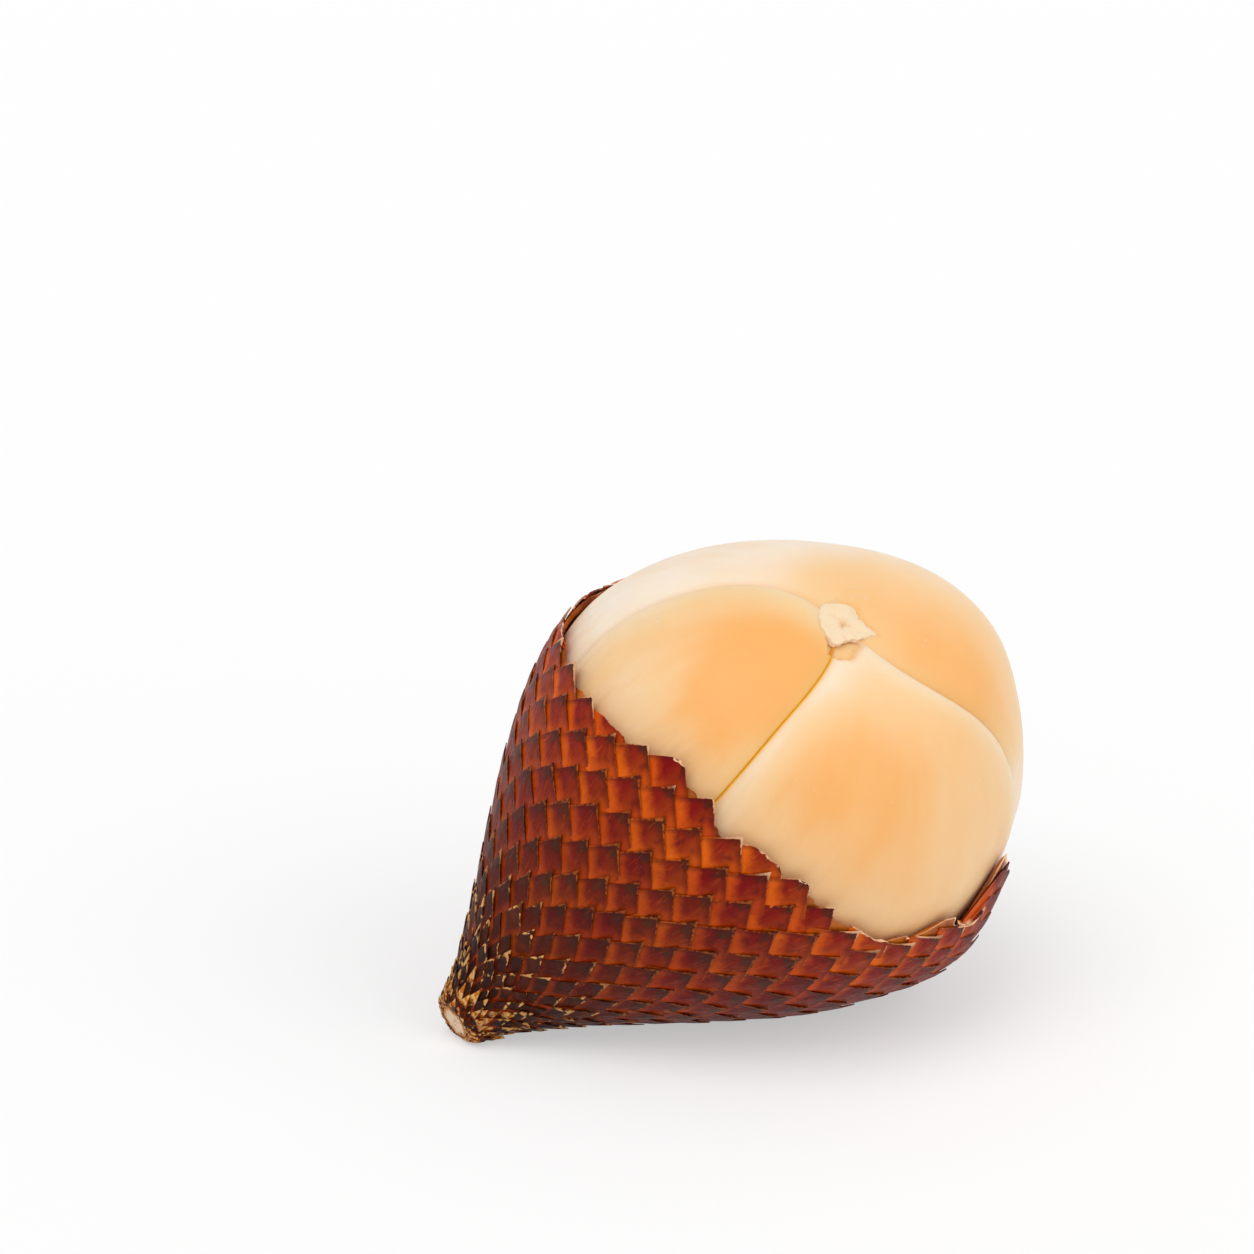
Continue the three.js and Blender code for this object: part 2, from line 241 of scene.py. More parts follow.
    def flared(self, distance: Numbers, turn: Numbers) -> Numbers:
        """How far the skin stands off the flesh.

        Args:
            distance: distances along the axis.
            turn: turns round the axis.

        Returns:
            Heights in millimetres.
        """
        start, full, end = self.flare_span
        open_share = smooth(distance, start, full) * (1 - smooth(distance, full, end))
        return self.flare * open_share * bump(turn, self.flare_turn, self.flare_width)

    def from_axis(self, distance: Numbers, radius: Numbers, turn: Numbers) -> Numbers:
        """Points by distance, radius and turn, before the fruit is set down.

        Args:
            distance: distances along the axis.
            radius: distances from the middle line.
            turn: turns round the axis.

        Returns:
            Points of a fruit whose neck starts at the origin.
        """
        distance, radius, turn = np.broadcast_arrays(distance, radius, turn)
        return (
            distance[..., None] * self.along
            + (radius * np.cos(turn) + self.bow(distance))[..., None] * self.over
            + (radius * np.sin(turn))[..., None] * self.aside
        )

    def point(self, distance: Numbers, radius: Numbers, turn: Numbers) -> Numbers:
        """Points by distance along the axis, radius and turn, in place on the table."""
        return self.from_axis(np.asarray(distance, float), radius, turn) + self.stem

    def skin_point(self, run: Numbers, turn: Numbers, inset: float | Numbers) -> Numbers:
        """Finds points of the skin.

        Args:
            run: distance along the axis or, below 0, the way back over the neck's end.
            turn: turn round the axis.
            inset: depth under the skin's outermost surface.

        Returns:
            Points in place on the table.
        """
        bend = np.clip(-run / self.collar, 0, 1) * math.pi / 2
        wider = self.neck_radius - self.scar_radius - inset / self.neck_line[2][0]
        out = np.where(run < 0, self.scar_radius + wider * np.cos(bend), self.radius(run, inset))
        distance = np.where(run < 0, (inset - self.scar_reach) * np.sin(bend), run)
        slant = self.slanted(out, turn) * (1 - smooth(distance, 0, self.slant_fade))
        out = out + self.flared(distance, turn) - self.pinched(distance, turn)
        return self.point(distance + slant, np.maximum(out, self.least_radius), turn)

    def local(self, points: Numbers) -> tuple[Numbers, Numbers, Numbers]:
        """Distance along the axis, radius and turn of points in space.

        Args:
            points: points in place on the table.

        Returns:
            Distances, radii and turns.
        """
        offset = points - self.stem
        distance = offset @ self.along
        up = offset @ self.over - self.bow(distance)
        side = offset @ self.aside
        return distance, np.hypot(up, side), np.arctan2(side, up)


@dataclass(frozen=True)
class Tear:
    """The wavy line round which the upper skin was torn away."""

    form: FruitForm
    lean: tuple[float, float, float] = (0.36, -0.38, 0.85)
    height: float = 6.0
    waves: Waves = (  # turn and half-width in degrees, and rise
        (42, 20, 2.8), (53, 5, -0.8), (105, 18, -4.0), (134, 7, -2.6), (147, 6.5, 4.2),
        (180, 34, -3.4), (250, 30, 1.0), (325, 25, -2.5),
    )
    search: Span = (5.0, 66.0)  # the torn line crosses the axis between these distances
    halvings: int = 30

    @cached_property
    def normal(self) -> Numbers:
        """Direction square to the plane that the tear follows."""
        return unit(np.array(self.lean))

    @cached_property
    def stem_side(self) -> Numbers:
        """Level direction in the plane, towards the stem."""
        return unit(np.cross(self.normal, self.form.aside))

    @cached_property
    def near_side(self) -> Numbers:
        """Direction in the plane, towards the near side."""
        return np.cross(self.normal, self.stem_side)

    def line_height(self, turn: Numbers) -> Numbers:
        """Height of the torn line over the belly's middle, at a turn round the normal.

        Args:
            turn: turns round the normal.

        Returns:
            Heights along the normal.
        """
        degrees = np.degrees(turn)
        total = np.full(np.shape(degrees), self.height)
        for at, half_width, rise in self.waves:
            off = (np.mod(degrees - at + 180, 360) - 180) / half_width
            total = total + rise * np.exp(-off * off)
        return total

    def room(self, points: Numbers) -> Numbers:
        """How far points lie under the torn line: negative where the skin is gone.

        Args:
            points: points in place on the table.

        Returns:
            Millimetres left to the torn line.
        """
        offset = points - self.form.belly
        turn = np.arctan2(offset @ self.near_side, offset @ self.stem_side)
        return self.line_height(turn) - offset @ self.normal

    def distance(self, turn: Numbers, rise: Numbers = 0.0) -> Numbers:
        """Distance along the axis at which the skin ends, for each turn round the axis.

        Args:
            turn: angles round the axis.
            rise: how far past the torn line the skin reaches.

        Returns:
            Distances along the axis.
        """
        low, high = (np.full(np.shape(turn), end) for end in self.search)
        for _ in range(self.halvings):
            middle = (low + high) / 2
            inside = self.room(self.form.skin_point(middle, turn, 0.0)) + rise > 0
            low = np.where(inside, middle, low)
            high = np.where(inside, high, middle)
        return low


# --------------------------------------------------------------- mesh building


def mesh_object(
    name: str,
    points: Numbers,
    faces: Sequence[Sequence[int]],
    smooth_angle: float | None = None,
) -> bpy.types.Object:
    """Makes an object of points in millimetres.

    Args:
        name: the piece's name.
        points: corners, in millimetres.
        faces: corner numbers of each face.
        smooth_angle: edges sharper than this stay sharp. None keeps faces flat.

    Returns:
        The new object, at the origin.
    """
    mesh = bpy.data.meshes.new(name)
    mesh.from_pydata((np.asarray(points) * METRE).tolist(), [], [list(map(int, f)) for f in faces])
    mesh.validate()
    piece = bpy.data.objects.new(name, mesh)
    bpy.context.scene.collection.objects.link(piece)
    if smooth_angle is not None:
        select_only(piece)
        bpy.ops.object.shade_smooth_by_angle(angle=smooth_angle)
    return piece


def deselect_all() -> None:
    """Leaves nothing selected."""
    for other in bpy.context.selected_objects:
        other.select_set(False)


def select_only(piece: bpy.types.Object) -> None:
    """Makes one object the only one selected and active.

    Args:
        piece: the object.
    """
    deselect_all()
    piece.select_set(True)
    bpy.context.view_layer.objects.active = piece


def add_values(piece: bpy.types.Object, name: str, values: Numbers) -> None:
    """Stores one number per corner point of a piece, for its material to read."""
    layer = piece.data.attributes.new(name, "FLOAT", "POINT")
    layer.data.foreach_set("value", np.asarray(values, np.float32).ravel())


def points_of(piece: bpy.types.Object) -> Numbers:
    """Corners of a piece, in millimetres.

    Args:
        piece: the object.

    Returns:
        A row for each corner.
    """
    flat = np.empty(3 * len(piece.data.vertices), np.float32)
    piece.data.vertices.foreach_get("co", flat)
    return flat.reshape(-1, 3).astype(float) / METRE


def fix_faces(piece: bpy.types.Object, smooth_angle: float) -> None:
    """Turns a closed piece's faces outwards and smooths all but its sharp edges.

    Args:
        piece: the closed piece.
        smooth_angle: edges sharper than this stay sharp.
    """
    select_only(piece)
    bpy.ops.object.mode_set(mode="EDIT")
    bpy.ops.mesh.select_all(action="SELECT")
    bpy.ops.mesh.normals_make_consistent(inside=False)
    bpy.ops.object.mode_set(mode="OBJECT")
    bpy.ops.object.shade_smooth_by_angle(angle=smooth_angle)


def ball_places(piece: bpy.types.Object, rows: int, columns: int) -> tuple[Numbers, Numbers]:
    """Row share from pole to pole and column number of each corner of a unit ball.

    Args:
        piece: a ball of radius 1 as it was added.
        rows: bands from pole to pole.
        columns: faces round each band.

    Returns:
        Row shares and column numbers.
    """
    points = points_of(piece) * METRE
    row = np.rint(np.arccos(np.clip(points[:, 2], -1, 1)) / math.pi * rows) / rows
    turn = np.mod(np.arctan2(points[:, 1], points[:, 0]) / TAU * columns, columns)
    return row, np.rint(turn).astype(int) % columns


def moulded_ball(
    name: str, rows: int, columns: int, mould: Callable[[Numbers, Numbers], Numbers],
    smooth_angle: float,
) -> bpy.types.Object:
    """Adds a ball and presses it to shape, which keeps it closed from pole to pole.

    Args:
        name: the piece's name.
        rows: bands from pole to pole.
        columns: faces round each band.
        mould: gives points in millimetres for row shares and column numbers.
        smooth_angle: edges sharper than this stay sharp.

    Returns:
        The piece, at the origin.
    """
    deselect_all()
    bpy.ops.mesh.primitive_uv_sphere_add(segments=columns, ring_count=rows, radius=1)
    piece = bpy.context.object
    piece.name = piece.data.name = name
    row, column = ball_places(piece, rows, columns)
    points = mould(row, column) * METRE
    piece.data.vertices.foreach_set("co", points.astype(np.float32).ravel())
    for layer in list(piece.data.uv_layers):
        piece.data.uv_layers.remove(layer)
    fix_faces(piece, smooth_angle)
    return piece


# -------------------------------------------------------------------- materials


class NodeSheet:
    """Adds and links the shader nodes of one material."""

    def __init__(self, name: str) -> None:
        """Starts a material that holds one shader.

        Args:
            name: the material's name.
        """
        self.material = bpy.data.materials.new(name)
        self.material.use_nodes = True
        self.tree = self.material.node_tree
        self.shader = self.tree.nodes["Principled BSDF"]
        self.output = self.tree.nodes["Material Output"]

    def node(self, kind: str, **settings: object) -> bpy.types.Node:
        """Adds a node and sets its properties.

        Args:
            kind: the node's type, without its prefix.
            settings: properties and their values.

        Returns:
            The new node.
        """
        made = self.tree.nodes.new("ShaderNode" + kind)
        for key, value in settings.items():
            setattr(made, key, value)
        return made

    def feed(self, socket: Socket, value: object) -> None:
        """Links a socket, or sets it where value is plain.

        Args:
            socket: the input.
            value: another node's output, or a plain value.
        """
        if isinstance(value, bpy.types.NodeSocket):
            self.tree.links.new(value, socket)
        else:
            socket.default_value = value

    def value(self, name: str) -> Socket:
        """Number stored on the mesh."""
        return self.node("Attribute", attribute_name=name).outputs["Fac"]

    def place(self) -> Socket:
        """Place on the object, in metres."""
        return self.node("TexCoord").outputs["Object"]

    def math(self, operation: str, *values: object, clamp: bool = False) -> Socket:
        """Sum, product or other sum of numbers.

        Args:
            operation: the node's operation.
            values: one for each input.
            clamp: keeps the result from 0 to 1.

        Returns:
            The result.
        """
        made = self.node("Math", operation=operation, use_clamp=clamp)
        for socket, value in zip(made.inputs, values):
            self.feed(socket, value)
        return made.outputs[0]

    def plus(self, first: object, second: object) -> Socket:
        """Sum of two numbers."""
        return self.math("ADD", first, second)

    def minus(self, first: object, second: object) -> Socket:
        """What is left of the first number without the second."""
        return self.math("SUBTRACT", first, second)

    def times(self, first: object, second: object) -> Socket:
        """Product of two numbers."""
        return self.math("MULTIPLY", first, second)

    def step(self, value: object, low: float, high: float) -> Socket:
        """Soft step from 0 at low to 1 at high; falls where low is the larger.

        Args:
            value: what is stepped.
            low: where the result is 0.
            high: where it is 1.

        Returns:
            The step.
        """
        made = self.node("MapRange", interpolation_type="SMOOTHSTEP")
        ends = (low, high, 0.0, 1.0) if low < high else (high, low, 1.0, 0.0)
        for socket, item in zip(made.inputs, (value, *ends)):
            self.feed(socket, item)
        return made.outputs[0]

    def centred(self, value: Socket) -> Socket:
        """A value from 0 to 1, moved to lie round 0."""
        return self.minus(value, 0.5)

    def noise(
        self, scale: float, detail: float = 2.0, stretch: Sequence[float] | None = None,
        vector: Socket | None = None, roughness: float = 0.5,
    ) -> Socket:
        """Cloudy noise on object coordinates.

        Args:
            scale: cells in a metre.
            detail: layers of finer cells.
            stretch: factors on the three coordinates.
            vector: coordinates to use instead of the object's.
            roughness: strength of the finer cells.

        Returns:
            Noise from 0 to 1.
        """
        vector = vector or self.place()
        if stretch:
            mapping = self.node("Mapping")
            self.feed(mapping.inputs["Vector"], vector)
            mapping.inputs["Scale"].default_value = stretch
            vector = mapping.outputs[0]
        made = self.node("TexNoise")
        self.feed(made.inputs["Vector"], vector)
        made.inputs["Scale"].default_value = scale
        made.inputs["Detail"].default_value = detail
        made.inputs["Roughness"].default_value = roughness
        return made.outputs["Fac"]

    def blend(self, share: object, first: object, second: object) -> Socket:
        """Mix of two colours.

        Args:
            share: 0 for the first colour, 1 for the second.
            first: a colour or an output.
            second: a colour or an output.

        Returns:
            The mixed colour.
        """
        made = self.node("Mix", data_type="RGBA")
        sockets = (made.inputs[0], made.inputs[6], made.inputs[7])
        for socket, item in zip(sockets, (share, first, second)):
            self.feed(socket, item)
        return made.outputs[2]

    def seen_directly(self) -> Socket:
        """1 for what the camera sees, straight, mirrored or through glass.

        Returns:
            The share.
        """
        path = self.node("LightPath").outputs
        mirrored = self.plus(path["Is Glossy Ray"], path["Is Transmission Ray"])
        return self.math("ADD", path["Is Camera Ray"], mirrored, clamp=True)

    def bumps(self, height: object, depth: float, strength: float) -> Socket:
        """Surface normal of a height that goes from 0 to 1 over depth metres.

        Args:
            height: height from 0 to 1.
            depth: metres between 0 and 1.
            strength: share of the relief that shows.

        Returns:
            The normal.
        """
        made = self.node("Bump")
        made.inputs["Strength"].default_value = strength
        made.inputs["Distance"].default_value = depth
        self.feed(made.inputs["Height"], height)
        return made.outputs[0]

    def finish(self, **inputs: object) -> bpy.types.Material:
        """Feeds the shader's sockets, named with _ for blanks, and gives the material.

        Args:
            inputs: values or outputs by socket name.

        Returns:
            The material.
        """
        for key, value in inputs.items():
            self.feed(self.shader.inputs[key.replace("_", " ")], value)
        return self.material


@dataclass(frozen=True)
class ScaleMarks:
    """What the patterns of the scales are drawn from, one number per point of the skin."""

    s: Socket  # share of the way over a scale to its right edge, with a cloudy wander
    t: Socket  # the same, to its upper edge
    along: Socket  # wandering share of the way from base to tip
    border: Socket  # 1 at the free edges
    cloud: Socket
    blots: Socket
    fine: Socket
    veins: Socket
    near: Socket  # 1 beside the tear
    neck: Socket
    round_end: Socket
    rim: Socket  # millimetres left to the tear
    tint: Socket
    flake: Socket


@dataclass(frozen=True)
class ScaleFinish:
    """Horny scales: orange where they come out from under others, dark at the tip, with light and
    shade painted on them.
    """

    # orange of the scales' bases: partly their own colour, partly a painted glow of light through the
    # thin scales
    glow: Colour = colour("DC5C08")
    low_glow: Colour = colour("C04A14")
    # the two facet colours are painted shade and painted light: the upper-left facet darker, the
    # lower-right facet lighter
    upper: Colour = colour("84140A")
    lower: Colour = colour("96341C")
    shaded: Colour = colour("581A12")
    heart: Colour = colour("5A1309")
    tip: Colour = colour("40281F")
    edge: Colour = colour("4A0F07")
    # painted highlight along the scales' free edges and on the plates' sides
    edge_highlight: Colour = colour("D07A4C")
    torn: Colour = colour("F2BE90")
    neck: Colour = colour("2A1712")
    neck_warm: Colour = colour("56281B")
    neck_gap: Colour = colour("8E3310")
    neck_tip: Colour = colour("E2AC74")
    gold: Colour = colour("C2702C")
    straw: Colour = colour("EDC08A")
    cloud_cells: float = 420.0  # in a metre
    blot_cells: float = 800.0
    fine_cells: float = 2200.0
    bit_cells: float = 1300.0
    vein_stretch: tuple[float, float, float] = (9.0, 1.3, 1.0)
    wander: float = 0.55
    near_span: Span = (15.0, 2.0)  # millimetres from the tear
    # where the painted shade of the upper-left facet turns to the painted light of the lower-right
    # one
    lit_facet_span: Span = (-0.2, 0.3)
    shaded_span: Span = (0.15, 0.8)
    heart_span: Span = (0.5, 0.75)
    low_span: Span = (0.38, -0.05)
    left_span: Span = (0.46, 0.06)
    tip_span: Span = (0.55, 0.8)
    tip_strength: float = 0.86
    streak_span: Span = (0.56, 0.7)
    margin_span: Span = (0.8, 0.97)
    edge_highlight_span: Span = (0.975, 0.995)
    warm_span: Span = (0.42, 0.7)
    gap_span: Span = (0.36, 0.04)
    thin_span: Span = (1.11, 1.16)
    flake_span: Span = (0.5, 0.58)
    # cuts fine noise into patches: breaks in the painted edge highlight, and the mottling of the
    # golden flakes
    fine_patch_span: Span = (0.4, 0.6)
    pale_reach: Span = (0.6, 0.9)
    golden_reach: Span = (0.35, 0.7)
    bit_span: Span = (0.47, 0.56)
    neck_span: Span = (0.15, 0.7)
    torn_span: Span = (0.21, 0.12)  # millimetres from the tear
    frayed_span: Span = (1.03, 1.055)
    frayed_reach: Span = (2.0, 0.6)  # millimetres from the tear
    saturation: float = 1.1
    grain_depth: float = 0.00022

    def marks(self, sheet: NodeSheet) -> ScaleMarks:
        """Lays out the places, stored values and noises of the patterns.

        Args:
            sheet: the material's nodes.

        Returns:
            The numbers that the patterns are drawn from.
        """
        split = sheet.node("SeparateXYZ")
        sheet.feed(split.inputs[0], sheet.node("UVMap", uv_map="on_scale").outputs[0])
        u, v = split.outputs[0], split.outputs[1]
        cloud = sheet.noise(self.cloud_cells, 4, roughness=0.65)
        tint, neck, rim, flake, round_end = (
            sheet.value(name) for name in ("tint", "neck", "rim", "flake", "round_end")
        )
        lie = sheet.node("CombineXYZ")
        sheet.feed(lie.inputs[0], sheet.minus(u, v))
        sheet.feed(lie.inputs[1], sheet.plus(u, v))
        sheet.feed(lie.inputs[2], sheet.times(tint, 60.0))
        wander = sheet.times(sheet.centred(cloud), self.wander)
        s, t = sheet.plus(u, wander), sheet.plus(v, wander)
        return ScaleMarks(
            s=s, t=t,
            along=sheet.times(sheet.plus(s, t), 0.5),
            border=sheet.math("MAXIMUM", u, v),
            cloud=cloud,
            blots=sheet.noise(self.blot_cells, 2, (1.0, 1.3, 0.8)),
            fine=sheet.noise(self.fine_cells, 3),
            veins=sheet.noise(1.0, 3, self.vein_stretch, lie.outputs[0], 0.6),
            near=sheet.step(rim, *self.near_span),
            neck=neck, round_end=round_end, rim=rim, tint=tint, flake=flake,
        )

    def body(self, sheet: NodeSheet, marks: ScaleMarks) -> Socket:
        """Colours a scale of the body, from its orange base to its dark edge, with painted light and
        shade on its two facets, a painted glow on its base and a painted highlight on its free edges.

        Args:
            sheet: the material's nodes.
            marks: the numbers that the patterns are drawn from.

        Returns:
            The colour.
        """
        s, t, near = marks.s, marks.t, marks.near
        # painted light and shade: the fold's lower-right facet is painted lighter than its upper-left
        # one
        body = sheet.blend(sheet.step(sheet.minus(s, t), *self.lit_facet_span), self.upper, self.lower)
        far = sheet.minus(0.75, sheet.times(near, 0.65))
        shaded = sheet.times(sheet.step(marks.along, *self.shaded_span), far)
        body = sheet.blend(shaded, body, self.shaded)
        blotted = sheet.times(sheet.step(marks.blots, *self.heart_span), 0.7)
        body = sheet.blend(blotted, body, self.heart)
        # painted light: the glow of the orange bases is painted stronger on rows beside the tear and
        # weaker towards the round end, where shade is painted
        lit_glow = sheet.plus(0.5, sheet.times(near, 0.45))
        lit_glow = sheet.times(lit_glow, sheet.minus(1.0, marks.round_end))
        low = sheet.times(sheet.step(t, *self.low_span), lit_glow)
        body = sheet.blend(low, body, self.low_glow)
        left = sheet.times(sheet.step(s, *self.left_span), lit_glow)
        body = sheet.blend(left, body, self.glow)
        body = sheet.blend(self.tip_patch(sheet, marks), body, self.tip)
        streak = sheet.times(sheet.step(marks.veins, *self.streak_span), 0.3)
        body = sheet.blend(streak, body, self.low_glow)
        margin = sheet.times(sheet.step(marks.border, *self.margin_span), 0.5)
        body = sheet.blend(margin, body, self.edge)
        # painted highlight along the free edges, broken up by fine noise
        highlight_breaks = sheet.step(marks.fine, *self.fine_patch_span)
        edge_highlight = sheet.times(sheet.step(marks.border, *self.edge_highlight_span), highlight_breaks)
        return sheet.blend(sheet.times(edge_highlight, 0.45), body, self.edge_highlight)

    def tip_patch(self, sheet: NodeSheet, marks: ScaleMarks) -> Socket:
        """Draws the dark patch at a scale's tip, with a ragged outline.

        Args:
            sheet: the material's nodes.
            marks: the numbers that the patterns are drawn from.

        Returns:
            The strength of the patch.
        """
        aside = sheet.math("ABSOLUTE", sheet.minus(marks.s, marks.t))
        reach = sheet.minus(marks.along, sheet.times(aside, 0.3))
        reach = sheet.plus(reach, sheet.times(sheet.centred(marks.blots), 0.3))
        reach = sheet.plus(reach, sheet.times(sheet.centred(marks.veins), 0.3))
        reach = sheet.minus(reach, sheet.times(marks.near, 0.1))
        return sheet.times(sheet.step(reach, *self.tip_span), self.tip_strength)

    def aged(self, sheet: NodeSheet, marks: ScaleMarks, body: Socket) -> Socket:
        """Turns the neck's scales dark, with broken pale edges and golden flakes.

        Args:
            sheet: the material's nodes.
            marks: the numbers that the patterns are drawn from.
            body: colour of the body's scales.

        Returns:
            The colour.
        """
        warm = sheet.step(marks.cloud, *self.warm_span)
        aged = sheet.blend(warm, self.neck, self.neck_warm)
        gaps = sheet.step(sheet.math("MINIMUM", marks.s, marks.t), *self.gap_span)
        aged = sheet.blend(gaps, aged, self.neck_gap)
        body = sheet.blend(sheet.times(marks.neck, 0.96), body, aged)
        thin = sheet.plus(marks.border, sheet.times(marks.fine, 0.22))
        thin = sheet.plus(thin, sheet.times(marks.flake, 0.1))
        pale = sheet.step(marks.along, *self.pale_reach)
        pale = sheet.times(sheet.step(thin, *self.thin_span), pale)
        pale = sheet.times(pale, sheet.step(sheet.noise(self.bit_cells, 1), *self.bit_span))
        pale = sheet.times(pale, sheet.step(marks.neck, *self.neck_span))
        body = sheet.blend(pale, body, self.neck_tip)
        golden = sheet.step(marks.flake, *self.flake_span)
        golden = sheet.times(golden, sheet.step(marks.along, *self.golden_reach))
        mottled = sheet.blend(sheet.step(marks.fine, *self.fine_patch_span), self.gold, self.straw)
        return sheet.blend(golden, body, mottled)

    def varied(self, sheet: NodeSheet, marks: ScaleMarks, body: Socket) -> Socket:
        """Makes each scale a little lighter or redder than the next, with painted light on the rows
        beside the tear and painted shade towards the round end.

        Args:
            sheet: the material's nodes.
            marks: the numbers that the patterns are drawn from.
            body: colour of the scales.

        Returns:
            The colour.
        """
        shade = sheet.node("HueSaturation")
        sheet.feed(shade.inputs["Color"], body)
        sheet.feed(shade.inputs["Saturation"], self.saturation)
        sheet.feed(shade.inputs["Hue"], sheet.plus(0.496, sheet.times(marks.tint, 0.008)))
        level = sheet.plus(0.9, sheet.times(marks.tint, 0.24))
        # painted light beside the tear and painted shade towards the round end
        lit = sheet.plus(0.92, sheet.times(marks.near, 0.1))
        lit = sheet.minus(lit, sheet.times(marks.round_end, 0.6))
        sheet.feed(shade.inputs["Value"], sheet.times(level, lit))
        return shade.outputs[0]

    def torn_edge(self, sheet: NodeSheet, marks: ScaleMarks) -> Socket:
        """Finds the pale edge that the tear leaves, and the frayed edges beside it.

        Args:
            sheet: the material's nodes.
            marks: the numbers that the patterns are drawn from.

        Returns:
            The strength of the pale edge.
        """
        ragged = sheet.plus(marks.rim, sheet.times(marks.fine, 0.16))
        frayed = sheet.plus(marks.border, sheet.times(marks.fine, 0.08))
        beside = sheet.step(marks.rim, *self.frayed_reach)
        frayed = sheet.times(sheet.step(frayed, *self.frayed_span), beside)
        frayed = sheet.times(frayed, 0.75)
        return sheet.math("MAXIMUM", sheet.step(ragged, *self.torn_span), frayed)

    def material(self) -> bpy.types.Material:
        """Builds the material of the scales.

        Returns:
            The material.
        """
        sheet = NodeSheet("horny_scales")
        marks = self.marks(sheet)
        body = self.aged(sheet, marks, self.body(sheet, marks))
        body = self.varied(sheet, marks, body)
        body = sheet.blend(self.torn_edge(sheet, marks), body, self.torn)
        grain = sheet.plus(sheet.times(marks.fine, 0.3), marks.cloud)
        grain = sheet.plus(grain, sheet.times(marks.veins, 0.9))
        return sheet.finish(
            Base_Color=body,
            Roughness=sheet.plus(0.3, sheet.times(marks.fine, 0.3)),
            Normal=sheet.bumps(grain, self.grain_depth, 0.6),
            Specular_IOR_Level=0.13,
        )


@dataclass(frozen=True)
class ScarFinish:
    """Corky scar: pale pinkish cream with small pits and a golden fibrous rim."""

    cork: Colour = colour("EFD3B4")
    pit: Colour = colour("6B4028")
    rim: Colour = colour("BE7A36")
    grain_cells: float = 2600.0  # in a metre
    pit_cells: float = 1900.0
    pit_span: Span = (0.66, 0.74)
    rim_span: Span = (0.62, 0.95)
    grain_depth: float = 0.0002

    def material(self) -> bpy.types.Material:
        """Builds the material of the scar.

        Returns:
            The material.
        """
        sheet = NodeSheet("corky_scar")
        grain = sheet.noise(self.grain_cells, 3)
        pits = sheet.step(sheet.noise(self.pit_cells, 1), *self.pit_span)
        rim = sheet.step(sheet.value("share"), *self.rim_span)
        body = sheet.blend(rim, self.cork, self.rim)
        body = sheet.blend(sheet.times(pits, 0.8), body, self.pit)
        return sheet.finish(
            Base_Color=body,
            Roughness=0.75,
            Normal=sheet.bumps(grain, self.grain_depth, 0.6),
            Specular_IOR_Level=0.2,
        )


@dataclass(frozen=True)
class LiningFinish:
    """Inner skin: glossy orange-brown inside, with a thin pale torn edge."""

    inside: Colour = colour("C66C12")
    deep: Colour = colour("8A340A")
    paper: Colour = colour("F6C896")
    neck: Colour = colour("4E1E0E")
    collar: Colour = colour("6E3A1A")
    cloud_cells: float = 300.0  # in a metre
    fine_cells: float = 2400.0
    deep_span: Span = (0.3, 0.7)
    paper_span: Span = (0.28, 0.14)  # millimetres from the tear
    cloud_depth: float = 0.0002

    def material(self) -> bpy.types.Material:
        """Builds the material of the skin's lining.

        Returns:
            The material.
        """
        sheet = NodeSheet("skin_lining")
        cloud = sheet.noise(self.cloud_cells, 3)
        fine = sheet.noise(self.fine_cells, 2)
        body = sheet.blend(sheet.step(cloud, *self.deep_span), self.inside, self.deep)
        ragged = sheet.plus(sheet.value("rim"), sheet.times(fine, 0.2))
        body = sheet.blend(sheet.step(ragged, *self.paper_span), body, self.paper)
        body = sheet.blend(sheet.value("neck"), body, self.neck)
        body = sheet.blend(sheet.value("collar"), body, self.collar)
        return sheet.finish(
            Base_Color=body,
            Roughness=0.4,
            Normal=sheet.bumps(cloud, self.cloud_depth, 0.4),
            Specular_IOR_Level=0.3,
        )


